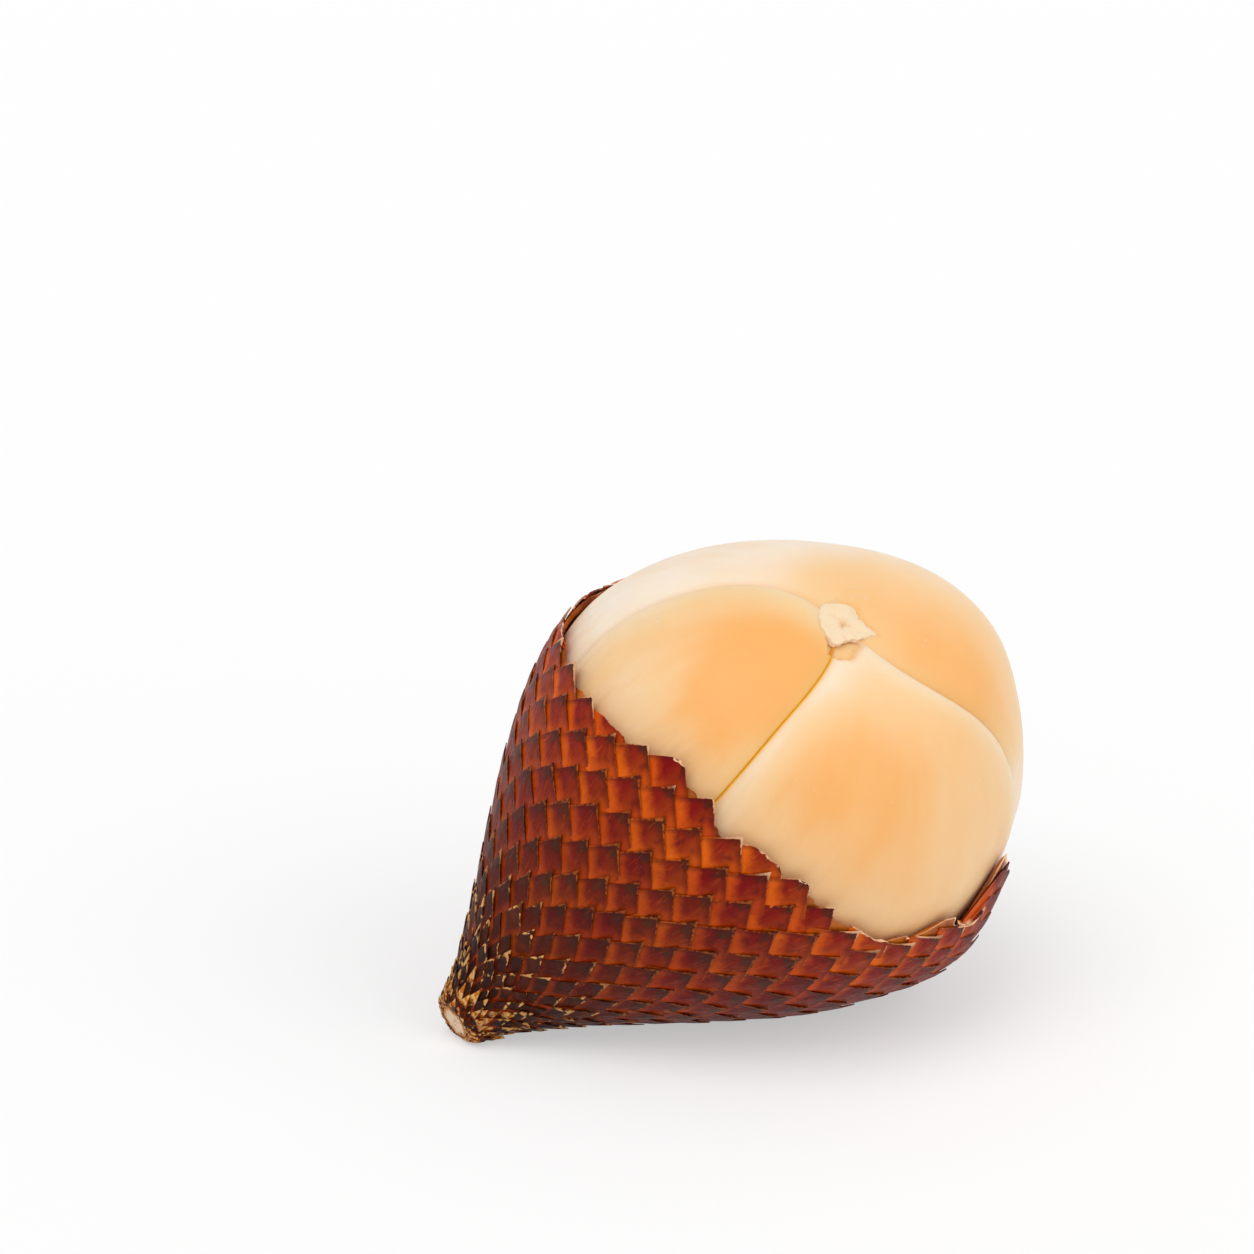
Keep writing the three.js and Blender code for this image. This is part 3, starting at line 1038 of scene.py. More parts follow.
@dataclass(frozen=True)
class FleshFinish:
    """Waxy flesh: tan, cream where it is pale, with deeper orange riper patches."""

    cream: Colour = colour("FBEBDA")
    tan: Colour = colour("F6CB94")
    ripe: Colour = colour("F5B163")
    # low: painted shade with a painted reddish reflection of the skin, used beside the tear and in
    # the folds
    low: Colour = colour("EBB984")
    crease: Colour = colour("F5B02E")
    recess: Colour = colour("F6C68A")
    cloud_cells: float = 120.0  # in a metre
    scuff_cells: float = 1500.0
    patch_cells: float = 150.0
    fine_cells: float = 900.0
    band_stretch: tuple[float, float, float] = (6.0, 1.2, 1.0)
    fold_stretch: tuple[float, float, float] = (14.0, 2.5, 1.0)
    wander: float = 0.35
    banding: float = 0.3
    banded_fall: Span = (0.3, 0.9)  # radians from the apex
    tan_span: Span = (-0.1, 0.5)
    ripe_span: Span = (0.4, 1.0)
    # where the painted shade beside the tear fades out, by the bare share
    low_span: Span = (0.4, 0.0)
    fold_span: Span = (0.5, 0.62)
    beside_tear: Span = (1.0, 0.2)
    scuff_span: Span = (0.6, 0.68)
    patch_span: Span = (0.56, 0.66)
    # painted shade along the grooves
    groove_shade_span: Span = (1.0, 0.0)  # millimetres from a groove
    crease_span: Span = (0.3, 0.05)
    recess_span: Span = (0.75, 1.0)
    relief_depth: float = 0.0004

    def scuffs(self, sheet: NodeSheet) -> Socket:
        """Draws small pale scuffs that lie in patches.

        Args:
            sheet: the material's nodes.

        Returns:
            The strength of the scuffs.
        """
        fine = sheet.noise(self.scuff_cells, 4, roughness=0.7)
        patches = sheet.step(sheet.noise(self.patch_cells, 1), *self.patch_span)
        return sheet.times(sheet.step(fine, *self.scuff_span), patches)

    def skin_colour(self, sheet: NodeSheet, cloud: Socket, lie: Socket) -> Socket:
        """Colours the flesh by its ripeness, with faint bands from the apex down and painted shade
        with a painted reddish reflection beside the tear.

        Args:
            sheet: the material's nodes.
            cloud: cloudy noise.
            lie: turn and fall of the point.

        Returns:
            The colour.
        """
        bands = sheet.noise(1.0, 2, self.band_stretch, lie)
        away = sheet.times(sheet.step(sheet.value("fall"), *self.banded_fall), self.banding)
        inside = sheet.plus(sheet.value("ripe"), sheet.times(sheet.centred(cloud), self.wander))
        inside = sheet.plus(inside, sheet.times(sheet.centred(bands), away))
        body = sheet.blend(sheet.step(inside, *self.tan_span), self.cream, self.tan)
        body = sheet.blend(sheet.step(inside, *self.ripe_span), body, self.ripe)
        # painted shade and painted reddish reflection of the skin beside the tear
        low = sheet.times(sheet.step(sheet.value("bare"), *self.low_span), 0.3)
        return sheet.blend(low, body, self.low)

    def grooved(self, sheet: NodeSheet, body: Socket) -> Socket:
        """Colours the grooves and the hollow that holds the pad, with shade painted along the grooves
        and down into the hollow.

        Args:
            sheet: the material's nodes.
            body: colour of the flesh.

        Returns:
            The colour.
        """
        groove, hollow = sheet.value("groove"), sheet.value("hollow")
        # painted shade: the flesh turns riper orange along the grooves and down into the hollow
        soft = sheet.times(sheet.step(groove, *self.groove_shade_span), 0.3)
        body = sheet.blend(sheet.math("MAXIMUM", soft, hollow), body, self.ripe)
        body = sheet.blend(sheet.step(hollow, *self.recess_span), body, self.recess)
        return sheet.blend(sheet.step(groove, *self.crease_span), body, self.crease)

    def material(self) -> bpy.types.Material:
        """Builds the material of the flesh.

        Returns:
            The material.
        """
        sheet = NodeSheet("waxy_flesh")
        lie = sheet.node("CombineXYZ")
        sheet.feed(lie.inputs[0], sheet.value("turn"))
        sheet.feed(lie.inputs[1], sheet.value("fall"))
        cloud = sheet.noise(self.cloud_cells, 3)
        folds = sheet.noise(1.0, 1, self.fold_stretch, lie.outputs[0])
        drawn_in = sheet.step(sheet.value("bare"), *self.beside_tear)
        scuffs = self.scuffs(sheet)
        body = self.skin_colour(sheet, cloud, lie.outputs[0])
        # painted shade in the folds beside the tear
        folded = sheet.times(sheet.step(folds, *self.fold_span), drawn_in)
        body = sheet.blend(sheet.times(folded, 0.12), body, self.low)
        body = sheet.blend(sheet.times(scuffs, 0.4), body, self.cream)
        body = self.grooved(sheet, body)
        wrinkled = sheet.plus(0.1, sheet.times(drawn_in, 1.2))
        relief = sheet.plus(cloud, sheet.times(folds, wrinkled))
        relief = sheet.plus(relief, sheet.times(scuffs, 0.3))
        return sheet.finish(
            Base_Color=body,
            Roughness=sheet.plus(0.36, sheet.times(sheet.noise(self.fine_cells, 2), 0.16)),
            Subsurface_Weight=0.25,
            Subsurface_Radius=(0.004, 0.002, 0.001),
            Subsurface_Scale=1.0,
            Specular_IOR_Level=0.35,
            Sheen_Weight=0.12,
            Sheen_Roughness=0.35,
            Normal=sheet.bumps(relief, self.relief_depth, 0.45),
        )


@dataclass(frozen=True)
class PadFinish:
    """Dry tissue of the pad: pale cream, tan in its dimple and in faint clouds."""

    pale: Colour = colour("F8DAB6")
    warm: Colour = colour("F0BF8C")
    cloud_cells: float = 900.0  # in a metre
    fine_cells: float = 3000.0
    dimple_span: Span = (0.35, 0.02)
    cloud_span: Span = (0.5, 0.8)
    relief_depth: float = 0.0002

    def material(self) -> bpy.types.Material:
        """Builds the material of the pad.

        Returns:
            The material.
        """
        sheet = NodeSheet("dry_pad")
        cloud = sheet.noise(self.cloud_cells, 3)
        fine = sheet.noise(self.fine_cells, 3)
        dimple = sheet.times(sheet.step(sheet.value("share"), *self.dimple_span), 0.8)
        body = sheet.blend(dimple, self.pale, self.warm)
        clouded = sheet.times(sheet.step(cloud, *self.cloud_span), 0.5)
        body = sheet.blend(clouded, body, self.warm)
        relief = sheet.plus(cloud, sheet.times(fine, 0.5))
        return sheet.finish(
            Base_Color=body,
            Roughness=0.55,
            Specular_IOR_Level=0.3,
            Subsurface_Weight=0.2,
            Subsurface_Radius=(0.002, 0.001, 0.0006),
            Subsurface_Scale=1.0,
            Normal=sheet.bumps(relief, self.relief_depth, 0.4),
        )


# ------------------------------------------------------------------------ skin


@dataclass(frozen=True)
class ScaleCells:
    """Where scales lie: their tips, the directions of their edges and their covered shares.

    An edge is a pair (distance along the fruit, length round it) that runs from the
    tip to a side corner. The covers are the shares of the way from base to tip at
    which the scales before it end.
    """

    distance: Numbers
    turn: Numbers
    left_edge: Numbers
    right_edge: Numbers
    left_cover: Numbers
    low_cover: Numbers


@dataclass(frozen=True)
class ScaleLattice:
    """Where the scales sit: rings of scales, each half a place on from the last.

    A site is (ring, place). Rings count half scales along the fruit. They lean to
    the near side, and their spacing closes up in the neck. Each scale keeps its own
    direction and opening, so that its edges step past those of its neighbours.
    """

    form: FruitForm
    scales_round: int = 28
    first_turn: float = math.radians(-9)
    first_distance: float = 30.56
    half_scale: float = 2.567
    neck_from: float = 9.0
    calm_at: float = 25.0
    calm_span: float = 25.0
    calm_limit: float = 0.6
    ring_bend: float = -0.18
    ring_lean: float = 0.248
    lean_fade: float = -0.217
    straight_to: float = 14.0
    turn_drift: float = -0.434
    turn_swing: float = 0.065
    swirl: Span = (math.radians(-5), math.radians(17))  # everywhere, and added near swirl_turn
    opening: Span = (math.radians(60), math.radians(-13))
    swirl_turn: float = math.radians(-82)
    swirl_width: float = math.radians(47)
    neck_opening: float = 0.5
    neck_to: float = 24.0
    least_opening: float = 1.15  # as a share of the angle at which neighbours' tips just meet it
    edge_length: float = 1.25
    past_scar: float = 1.5  # the rings close up towards a place this far past the scar's rim
    bend_span: Span = (-1.0, 4.0)
    body_from: float = 3.0

    def ring_distance(self, ring: Numbers) -> Numbers:
        """Mean distance of a ring along the skin.

        Args:
            ring: ring numbers, which may be fractions.

        Returns:
            Distances along the axis.
        """
        straight = self.first_distance + self.half_scale * np.asarray(ring, float)
        pole = self.form.collar + self.past_scar
        room = self.neck_from + pole
        closing = room * np.exp(np.minimum(straight - self.neck_from, 0) / room)
        return np.where(straight < self.neck_from, closing - pole, straight)

    def place(self, ring: Numbers, place: Numbers) -> tuple[Numbers, Numbers]:
        """Distance and turn of a site; both numbers may be fractions.

        Args:
            ring: ring numbers.
            place: places round the ring.

        Returns:
            Distances along the axis, and turns.
        """
        around = self.first_turn - TAU / self.scales_round * np.asarray(place, float)
        mean = self.ring_distance(ring)
        calm = np.clip((mean - self.calm_at) / self.calm_span, -self.calm_limit, self.calm_limit)
        lean = (self.ring_lean + self.lean_fade * calm) * smooth(mean, 0, self.straight_to)
        bend = self.ring_bend * calm * smooth(mean, *self.bend_span)
        shift = bend * np.cos(around) + lean * np.sin(around)
        distance = mean + self.form.radius(mean) * shift
        turn = around + self.turn_drift * calm * np.cos(around) + self.turn_swing * np.sin(around)
        return distance, turn

    def cells(self, ring: Numbers, place: Numbers) -> ScaleCells:
        """Lays out the scales whose tips are at the given sites.

        Args:
            ring: ring of each scale.
            place: its place round the ring.

        Returns:
            The laid out scales.
        """
        distance, turn = self.place(ring, place)
        radius = self.form.girth(distance)

        def to_neighbour(sideways: float) -> Numbers:
            """Way to the tip of a scale of the ring before, by lengths along and round."""
            far_distance, far_turn = self.place(ring - 1, place + sideways)
            return np.stack([far_distance - distance, (far_turn - turn) * radius], -1)

        left, low = to_neighbour(-0.5), to_neighbour(0.5)
        length = self.edge_length * (
            np.linalg.norm(left, axis=-1) + np.linalg.norm(low, axis=-1)
        ) / 2
        body = smooth(distance, self.body_from, self.neck_to)
        turned = bump(turn, self.swirl_turn, self.swirl_width)
        axis = (self.swirl[0] + self.swirl[1] * turned) * body
        half = (self.opening[0] + self.opening[1] * turned) * mix(self.neck_opening, 1, body)
        between = np.arccos(np.clip(np.sum(unit(left) * unit(low), axis=-1), -1, 1))
        half = np.maximum(half, self.least_opening * between / 2)
        edges = [
            length[..., None] * np.stack([np.cos(math.pi + axis - side * half),
                                          np.sin(math.pi + axis - side * half)], -1)
            for side in (1, -1)
        ]

        def cross(one: Numbers, two: Numbers) -> Numbers:
            """Area between two ways."""
            return one[..., 0] * two[..., 1] - one[..., 1] * two[..., 0]

        area = cross(*edges)
        return ScaleCells(
            distance, turn, edges[0], edges[1],
            1 - cross(left, edges[1]) / area, 1 - cross(edges[0], low) / area,
        )


@dataclass
class ScalySkin:
    """The torn cup of scaly skin, with its lining and the scar of the stalk."""

    form: FruitForm
    tear: Tear
    lattice: ScaleLattice
    # one scale
    bands: tuple[float, ...] = (0.0, 0.3, 0.56, 0.8, 0.94, 1.0)  # cuts across it
    thickness: float = 0.17
    tip_lift: float = 0.46
    tip_scatter: float = 0.09
    fold: float = 0.32  # height of the fold that runs from base to tip
    ridge_width: float = 0.28
    hollow: float = 0.12
    lip: float = 0.05
    spike: float = 0.08
    spike_power: int = 6
    wander: float = 0.025
    ragged_tips: float = 0.12
    # worn scales of the neck
    neck_lift: float = 1.6  # relief, as a share of the body's
    neck_scatter: float = 0.3
    loose_share: float = 0.5
    longer_span: Span = (-0.4, 1.0)
    old_span: Span = (0.0, 16.0)  # between these distances worn scales turn to whole ones
    # how the scales lie
    rings: tuple[int, int] = (-26, 13)
    bed: float = 0.52  # the scales' bed lies this far under their highest tips
    neck_bed: float = 0.95
    bed_fade: Span = (-2.1, 1.0)
    bed_span: Span = (3.0, 14.0)
    highest: float = 0.03  # no scale stands farther than this out of the outline
    lowest_scale: float = 0.99  # as a share of the way over the neck's end
    scar_margin: float = 0.12
    table_gap: float = 0.6
    # how the tear cuts them
    kept_room: float = 0.5  # a scale is kept where its middle lies this far under the tear
    rear_end: float = 63.0
    stick_out: Span = (-0.2, 1.0)
    trims: int = 14  # scales are cut back to the tear in this many small steps
    trim_rate: float = 7.0
    trim_limit: float = 0.12
    torn_width: float = math.radians(24)
    torn_share: float = 0.85  # how far scales are torn through where the skin is loose
    # what the finishes read
    neck_span: Span = (4.0, 20.0)
    flake_span: Span = (-2.0, 8.0)
    flake_top: float = 1.3
    collar_span: Span = (0.0, 2.5)
    round_span: Span = (40.0, 58.0)
    round_shade: float = 0.5
    # lining
    wall: float = 0.85
    lining_rows: int = 80
    lining_columns: int = 520
    lining_turns_at: float = 0.5
    lining_gathered: float = 1.5
    lining_start: float = 0.98
    lining_pole: float = 11.0
    lining_round: float = 5.0
    lining_lip: float = 0.13
    lip_out: Span = (0.97, 1.0)
    lip_back: Span = (0.03, 0.0)
    lip_turn: float = 0.03
    lining_back: float = 0.55  # how far the lining ends under the torn line
    fray: float = 0.14
    fray_waves: Waves = ((23, 0.4, 1.0), (41, 2.0, 0.8), (67, 1.1, 0.6))
    fray_scatter: float = 0.6
    flap: float = 0.6  # it stands up in flaps where it is torn loose
    flap_turn: float = math.radians(-118)
    flap_width: float = math.radians(13)
    flap_waves: Waves = ((47, 2.0, 0.3), (83, 0.3, 0.35))
    # scar
    scar_insets: tuple[float, ...] = (0.1, 0.1, 0.16, 0.18, 0.18, 0.14)
    scar_corners: int = 48
    scar_inset: float = 0.2
    scar_depth: float = 0.5
    scar_ripple: float = 0.05
    scar_waves: Waves = ((5, 1, 1), (9, 2, 0.7), (17, 0, 0.5))
    scar_rough_to: float = 0.85
    scar_rim: float = 0.1
    scar_rim_at: float = 0.9
    scar_rim_width: float = 0.12

    def neck_share(self, distance: Numbers) -> Numbers:
        """1 in the neck, 0 on the body."""
        return 1 - smooth(distance, *self.neck_span)

    def settle(self, points: Numbers) -> Numbers:
        """Flattens what would dip through the table into a thin layer over it.

        Args:
            points: points in place on the table.

        Returns:
            Points that all lie over the table.
        """
        under = np.minimum(points[..., 2] - self.table_gap, 0) / self.table_gap
        flat = points.copy()
        flat[..., 2] = np.where(under < 0, self.table_gap * np.exp(under), points[..., 2])
        return flat

    def one_scale(self) -> tuple[Numbers, Numbers, Numbers, list[list[int]]]:
        """Models one scale as a closed plate on a unit square, folded from base to tip.

        Returns:
            Shares across and up the square, whether each corner is on the upper face,
            and the plate's faces.
        """
        steps = len(self.bands) - 1
        deselect_all()
        bpy.ops.mesh.primitive_grid_add(
            x_subdivisions=steps, y_subdivisions=steps, size=1, location=(0.5, 0.5, 0)
        )
        plate = bpy.context.object
        bpy.ops.object.transform_apply(location=True)
        bpy.ops.object.mode_set(mode="EDIT")
        bpy.ops.mesh.select_all(action="SELECT")
        bpy.ops.mesh.extrude_region_move(TRANSFORM_OT_translate={"value": (0, 0, 1)})
        bpy.ops.object.mode_set(mode="OBJECT")
        for face in plate.data.polygons:
            face.select = face.center.z < 0.25
        bpy.ops.object.mode_set(mode="EDIT")
        bpy.ops.mesh.select_mode(type="FACE")
        bpy.ops.mesh.dissolve_faces()
        bpy.ops.mesh.select_all(action="SELECT")
        bpy.ops.mesh.normals_make_consistent(inside=False)
        bpy.ops.object.mode_set(mode="OBJECT")
        corners = np.array([vertex.co for vertex in plate.data.vertices])
        at = np.rint(corners[:, :2] * steps).astype(int)
        faces = []
        for face in plate.data.polygons:
            ring = list(face.vertices)
            on_fold = [k for k, corner in enumerate(ring) if at[corner, 0] == at[corner, 1]]
            if len(ring) == 4 and len(on_fold) == 2 and corners[ring].mean(0)[2] > 0.9:
                ring = ring[on_fold[0]:] + ring[: on_fold[0]]
                faces += [ring[:3], [ring[0], ring[2], ring[3]]]
            else:
                faces.append(ring)
        bpy.data.objects.remove(plate)
        bands = np.array(self.bands)
        return bands[at[:, 0]], bands[at[:, 1]], corners[:, 2] > 0.5, faces

    def relief(self, u: Numbers, v: Numbers, lift: Numbers) -> Numbers:
        """Height of a scale's upper face over the bed.

        Args:
            u: share of the way from the left covered edge to the right free edge.
            v: share of the way from the lower covered edge to the upper free edge.
            lift: height of each scale's tip.

        Returns:
            Heights in millimetres.
        """
        forward = (u + v) / 2
        u, v = np.clip(u, 0, 1), np.clip(v, 0, 1)
        ahead = (u + v) / 2
        ridge = np.exp(-np.abs(u - v) / self.ridge_width) * np.sin(math.pi * ahead**0.8) ** 0.8
        hollow = np.sin(math.pi * u) * np.sin(math.pi * v)
        lips = (u**8 + v**8) * (1 - 0.5 * ahead)
        return lift * forward**0.9 + self.fold * ridge - self.hollow * hollow + self.lip * lips

    def bed_at(self, distance: Numbers) -> tuple[Numbers, Numbers]:
        """Depth of the bed that the scales lie on, and the share of it left near the scar."""
        share = mix(self.scar_inset / self.neck_bed, 1, smooth(distance, *self.bed_fade))
        return share * mix(self.neck_bed, self.bed, smooth(distance, *self.bed_span)), share

    def whole(self, turn: Numbers) -> Numbers:
        """1 where the rim's scales stay whole, less where the tear runs through them."""
        return 1 - self.torn_share * bump(turn, self.flap_turn, self.torn_width)

    def sites(self) -> tuple[Numbers, Numbers]:
        """Rings and places of all scales that lie under the torn line.

        Returns:
            A ring and a place for each scale.
        """
        ring, step = np.meshgrid(
            np.arange(*self.rings), np.arange(self.lattice.scales_round), indexing="ij"
        )
        ring = ring.ravel().astype(float)
        place = step.ravel() + (ring % 2) / 2
        cells = self.lattice.cells(ring, place)
        middle = (cells.left_edge + cells.right_edge) / 2
        radius = self.form.girth(cells.distance)
        points = self.form.skin_point(
            cells.distance + middle[:, 0], cells.turn + middle[:, 1] / radius, 0.0
        )
        past_scar = self.lattice.ring_distance(ring) > self.scar_margin - self.form.collar
        under = self.tear.room(points) > self.kept_room * self.whole(cells.turn)
        kept = under & (cells.distance < self.rear_end) & past_scar
        return ring[kept], place[kept]

    def laid(self, cells: ScaleCells, u: Numbers, v: Numbers) -> tuple[Numbers, Numbers]:
        """Finds where corners of the scales lie on the skin.

        Args:
            cells: the scales.
            u: shares of the way to the right edge, a row for each scale.
            v: the same, to the upper edge.

        Returns:
            Distance and turn of the corners.
        """
        way = [
            (1 - u) * cells.left_edge[:, None, axis] + (1 - v) * cells.right_edge[:, None, axis]
            for axis in (0, 1)
        ]
        lowest = -self.lowest_scale * self.form.collar
        distance = np.maximum(cells.distance[:, None] + way[0], lowest)
        return distance, cells.turn[:, None] + way[1] / self.form.girth(distance)

    def trimmed(
        self, cells: ScaleCells, u: Numbers, v: Numbers, out: Numbers
    ) -> tuple[Numbers, Numbers]:
        """Draws the corners that lie past the tear back towards their scale's base.

        Args:
            cells: the scales.
            u: shares of the way to the right edge, a row for each scale.
            v: the same, to the upper edge.
            out: how far the corners may lie past the torn line.

        Returns:
            Both shares, cut back.
        """
        for _ in range(self.trims):
            over = self.tear.room(self.form.skin_point(*self.laid(cells, u, v), 0.0)) + out
            back = np.clip(-over / self.trim_rate, 0, self.trim_limit)
            u, v = u - back, v - back
        return u, v

    def add_shares(
        self, piece: bpy.types.Object, cells: ScaleCells, u: Numbers, v: Numbers
    ) -> None:
        """Stores shares of the way over the part of each scale that shows, as a UV map.

        Args:
            piece: the laid scales.
            cells: where they lie.
            u: shares of the way to the right edge, a row for each scale.
            v: the same, to the upper edge.
        """
        layer = piece.data.uv_layers.new(name="on_scale")
        loops = np.empty(len(piece.data.loops), np.int32)
        piece.data.loops.foreach_get("vertex_index", loops)
        shares = [
            ((share - cover[:, None]) / (1 - cover[:, None])).ravel()[loops]
            for share, cover in ((u, cells.left_cover), (v, cells.low_cover))
        ]
        layer.data.foreach_set("uv", np.stack(shares, axis=1).astype(np.float32).ravel())

    def scales(self) -> bpy.types.Object:
        """Lays a copy of the one scale on every site and joins them in a piece.

        Returns:
            The piece.
        """
        rng = np.random.default_rng(SEED)
        across, up, upper, faces = self.one_scale()
        cells = self.lattice.cells(*self.sites())
        count, corners = len(cells.turn), len(across)
        body = smooth(cells.distance, *self.old_span)[:, None]
        old = 1 - body
        lift = self.tip_lift + self.tip_scatter * rng.uniform(-1, 1, (count, 1)) * (1 + old)
        tip = self.spike * (across * up) ** self.spike_power
        loose = self.wander + self.neck_scatter * old * self.loose_share
        longer = self.neck_scatter * old * rng.uniform(*self.longer_span, (count, 1))
        longer = longer * (across * up) ** 2
        u = across + tip + longer + loose * rng.uniform(-1, 1, (count, 1)) * across
        v = up + tip + longer + loose * rng.uniform(-1, 1, (count, 1)) * up
        out = rng.uniform(*self.stick_out, (count, 1)) * self.whole(cells.turn)[:, None]
        out = out + self.ragged_tips * rng.normal(size=u.shape)
        u, v = self.trimmed(cells, u, v, out)
        height = self.relief(np.maximum(u, 0), np.maximum(v, 0), lift)
        height = (height - np.where(upper, 0, self.thickness)) * mix(self.neck_lift, 1, body)
        distance, turn = self.laid(cells, u, v)
        bed, share = self.bed_at(distance)
        inset = np.maximum(bed - height * share, -self.highest)
        points = self.settle(self.form.skin_point(distance, turn, inset))
        everything = [
            [corner + corners * copy for corner in face] for copy in range(count) for face in faces
        ]
        piece = mesh_object("skin_scales", points.reshape(-1, 3), everything, math.radians(40))
        self.add_shares(piece, cells, u, v)
        add_values(piece, "tint", np.repeat(rng.uniform(0, 1, count), corners))
        add_values(piece, "neck", self.neck_share(distance))
        flake = rng.uniform(0, self.flake_top, (count, 1)) * (1 - smooth(distance, *self.flake_span))
        add_values(piece, "flake", flake)
        add_values(piece, "round_end", self.round_shade * smooth(distance, *self.round_span))
        rim = self.tear.room(points) + out
        add_values(piece, "rim", rim - np.minimum(rim.min(axis=1, keepdims=True), 0))
        return piece

    def lining(self) -> bpy.types.Object:
        """Makes the thin closed wall that carries the scales.

        Returns:
            The piece.
        """
        rng = np.random.default_rng(SEED + 1)
        turns = -TAU * np.arange(self.lining_columns) / self.lining_columns
        scatter = rng.normal(size=self.lining_columns) * self.fray_scatter
        fray = self.fray * (ripple(turns, self.fray_waves) + scatter)
        loose = bump(turns, self.flap_turn, self.flap_width)
        flaps = self.flap * (1 + ripple(turns, self.flap_waves))
        fray = fray - self.lining_back + loose * flaps
        ends = self.tear.distance(turns, fray)
        start = -self.lining_start * self.form.collar

        def wall(row: Numbers, column: Numbers) -> Numbers:
            """Wall's points: outside from scar to rim, then inside back to the neck.

            Args:
                row: shares of the way from pole to pole.
                column: column numbers.

            Returns:
                Points in place on the table.
            """
            turn = turns[column % self.lining_columns]
            end = ends[column % self.lining_columns]
            out = np.clip(row / self.lining_turns_at, 0, 1)
            back = np.clip((row - self.lining_turns_at) / (1 - self.lining_turns_at), 0, 1)
            outer = mix(start, end, out**self.lining_gathered)
            inner = mix(end - self.lip_turn, self.lining_pole, back)
            thin = self.lining_lip * (smooth(out, *self.lip_out) - smooth(back, *self.lip_back))
            outside = self.form.skin_point(outer, turn, self.bed_at(outer)[0] + thin)
            close = np.clip((self.lining_pole + self.lining_round - inner) / self.lining_round, 0, 1)
            radius = self.form.radius(inner, self.wall + thin)
            radius = radius + self.form.flared(inner, turn) - self.form.pinched(inner, turn)
            inside = self.form.point(inner, radius * np.sqrt(1 - close * close), turn)
            whole = np.where((row > self.lining_turns_at)[:, None], inside, outside)
            pole = self.form.point(-self.form.scar_reach / 2, 0.0, 0.0)
            return np.where((row == 0)[:, None], pole, whole)

        piece = moulded_ball(
            "skin_lining", self.lining_rows, self.lining_columns,
            lambda row, column: self.settle(wall(row, column)), math.radians(50),
        )
        points = points_of(piece)
        distance, _, turn = self.form.local(points)
        left = self.tear.room(points) + np.interp(turn, turns[::-1], fray[::-1], period=TAU)
        add_values(piece, "rim", left)
        add_values(piece, "neck", self.neck_share(distance))
        add_values(piece, "collar", 1 - smooth(distance, *self.collar_span))
        return piece

    def scar(self) -> bpy.types.Object:
        """Makes the flat corky scar where the stalk broke off.

        Returns:
            The piece.
        """
        deselect_all()
        bpy.ops.mesh.primitive_circle_add(vertices=self.scar_corners, radius=1, fill_type="NGON")
        disc = bpy.context.object
        disc.name = disc.data.name = "stalk_scar"
        bpy.ops.object.mode_set(mode="EDIT")
        bpy.ops.mesh.select_all(action="SELECT")
        for inset in self.scar_insets:
            bpy.ops.mesh.inset(thickness=inset)
        bpy.ops.mesh.poke()
        bpy.ops.mesh.select_all(action="SELECT")
        bpy.ops.mesh.extrude_region_move(TRANSFORM_OT_translate={"value": (0, 0, 1)})
        bpy.ops.mesh.select_all(action="SELECT")
        bpy.ops.mesh.normals_make_consistent(inside=False)
        bpy.ops.object.mode_set(mode="OBJECT")
        flat = np.array([vertex.co for vertex in disc.data.vertices])
        share = np.hypot(flat[:, 0], flat[:, 1])
        turn = np.arctan2(flat[:, 1], flat[:, 0])
        rng = np.random.default_rng(SEED + 2)
        rough = 1 + self.scar_ripple * ripple(turn, self.scar_waves)
        bumps = self.scar_ripple * rng.normal(size=len(share)) * (share < self.scar_rough_to)
        off_rim = (share - self.scar_rim_at) / self.scar_rim_width
        raised = self.scar_rim * np.exp(-(off_rim**2)) + bumps
        front = flat[:, 2] > 0.5
        distance = -self.form.scar_reach - np.where(front, raised - self.scar_inset, -self.scar_depth)
        radius = share * self.form.scar_radius * rough
        points = self.form.point(distance + self.form.slanted(radius, turn), radius, turn)
        disc.data.vertices.foreach_set("co", (points * METRE).astype(np.float32).ravel())
        add_values(disc, "share", share)
        fix_faces(disc, math.radians(40))
        return disc

    def build(self) -> list[bpy.types.Object]:
        """Builds and dresses the skin's pieces.

        Returns:
            The pieces.
        """
        dressed = (
            (self.scales(), ScaleFinish().material()),
            (self.lining(), LiningFinish().material()),
            (self.scar(), ScarFinish().material()),
        )
        for piece, finish in dressed:
            piece.data.materials.append(finish)
            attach(piece, "root")
            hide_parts("skin")
        return [piece for piece, _ in dressed]


# ----------------------------------------------------------------------- flesh


@dataclass(frozen=True)
class Groove:
    """Line between two lobes, which swings round near the pad. Angles in degrees."""

    turn: float
    swing: float
    fade: float

    def at(self, fall: Numbers) -> Numbers:
        """Turn round the core, in radians, at falls from the apex."""
        share = np.degrees(fall) / self.fade
        return np.radians(self.turn + self.swing * np.exp(-share * share))


@dataclass(frozen=True)
class Edge:
    """How a lobe ends at a groove: its rounding, and how much paler it is painted there as a
    highlight.
    """

    depth: float
    width: float
    # pale: share of ripeness taken away along the edge by a painted highlight
    pale: float
    highlight_width: float
    quiet: float = 0.0  # distance added where the groove has no golden line
    steepest: float = 0.98  # keeps the side from standing quite upright

    def drop(self, away: Numbers) -> Numbers:
        """How far the surface rounds down at a distance from the groove."""
        share = np.clip(1 - away / self.width, 0, 1)
        return self.depth * (1 - np.sqrt(1 - self.steepest * share * share))

    def highlight_paling(self, away: Numbers) -> Numbers:
        """Share of ripeness left at a distance from the groove, less where a highlight is painted
        along the rounded edge.
        """
        return 1 - self.pale * np.exp(-((away / self.highlight_width) ** 2))


@dataclass(frozen=True)
class Spot:
    """Riper patch: fall, turn and half-width in degrees, and its strength."""

    fall: float
    turn: float
    half_width: float
    strength: float


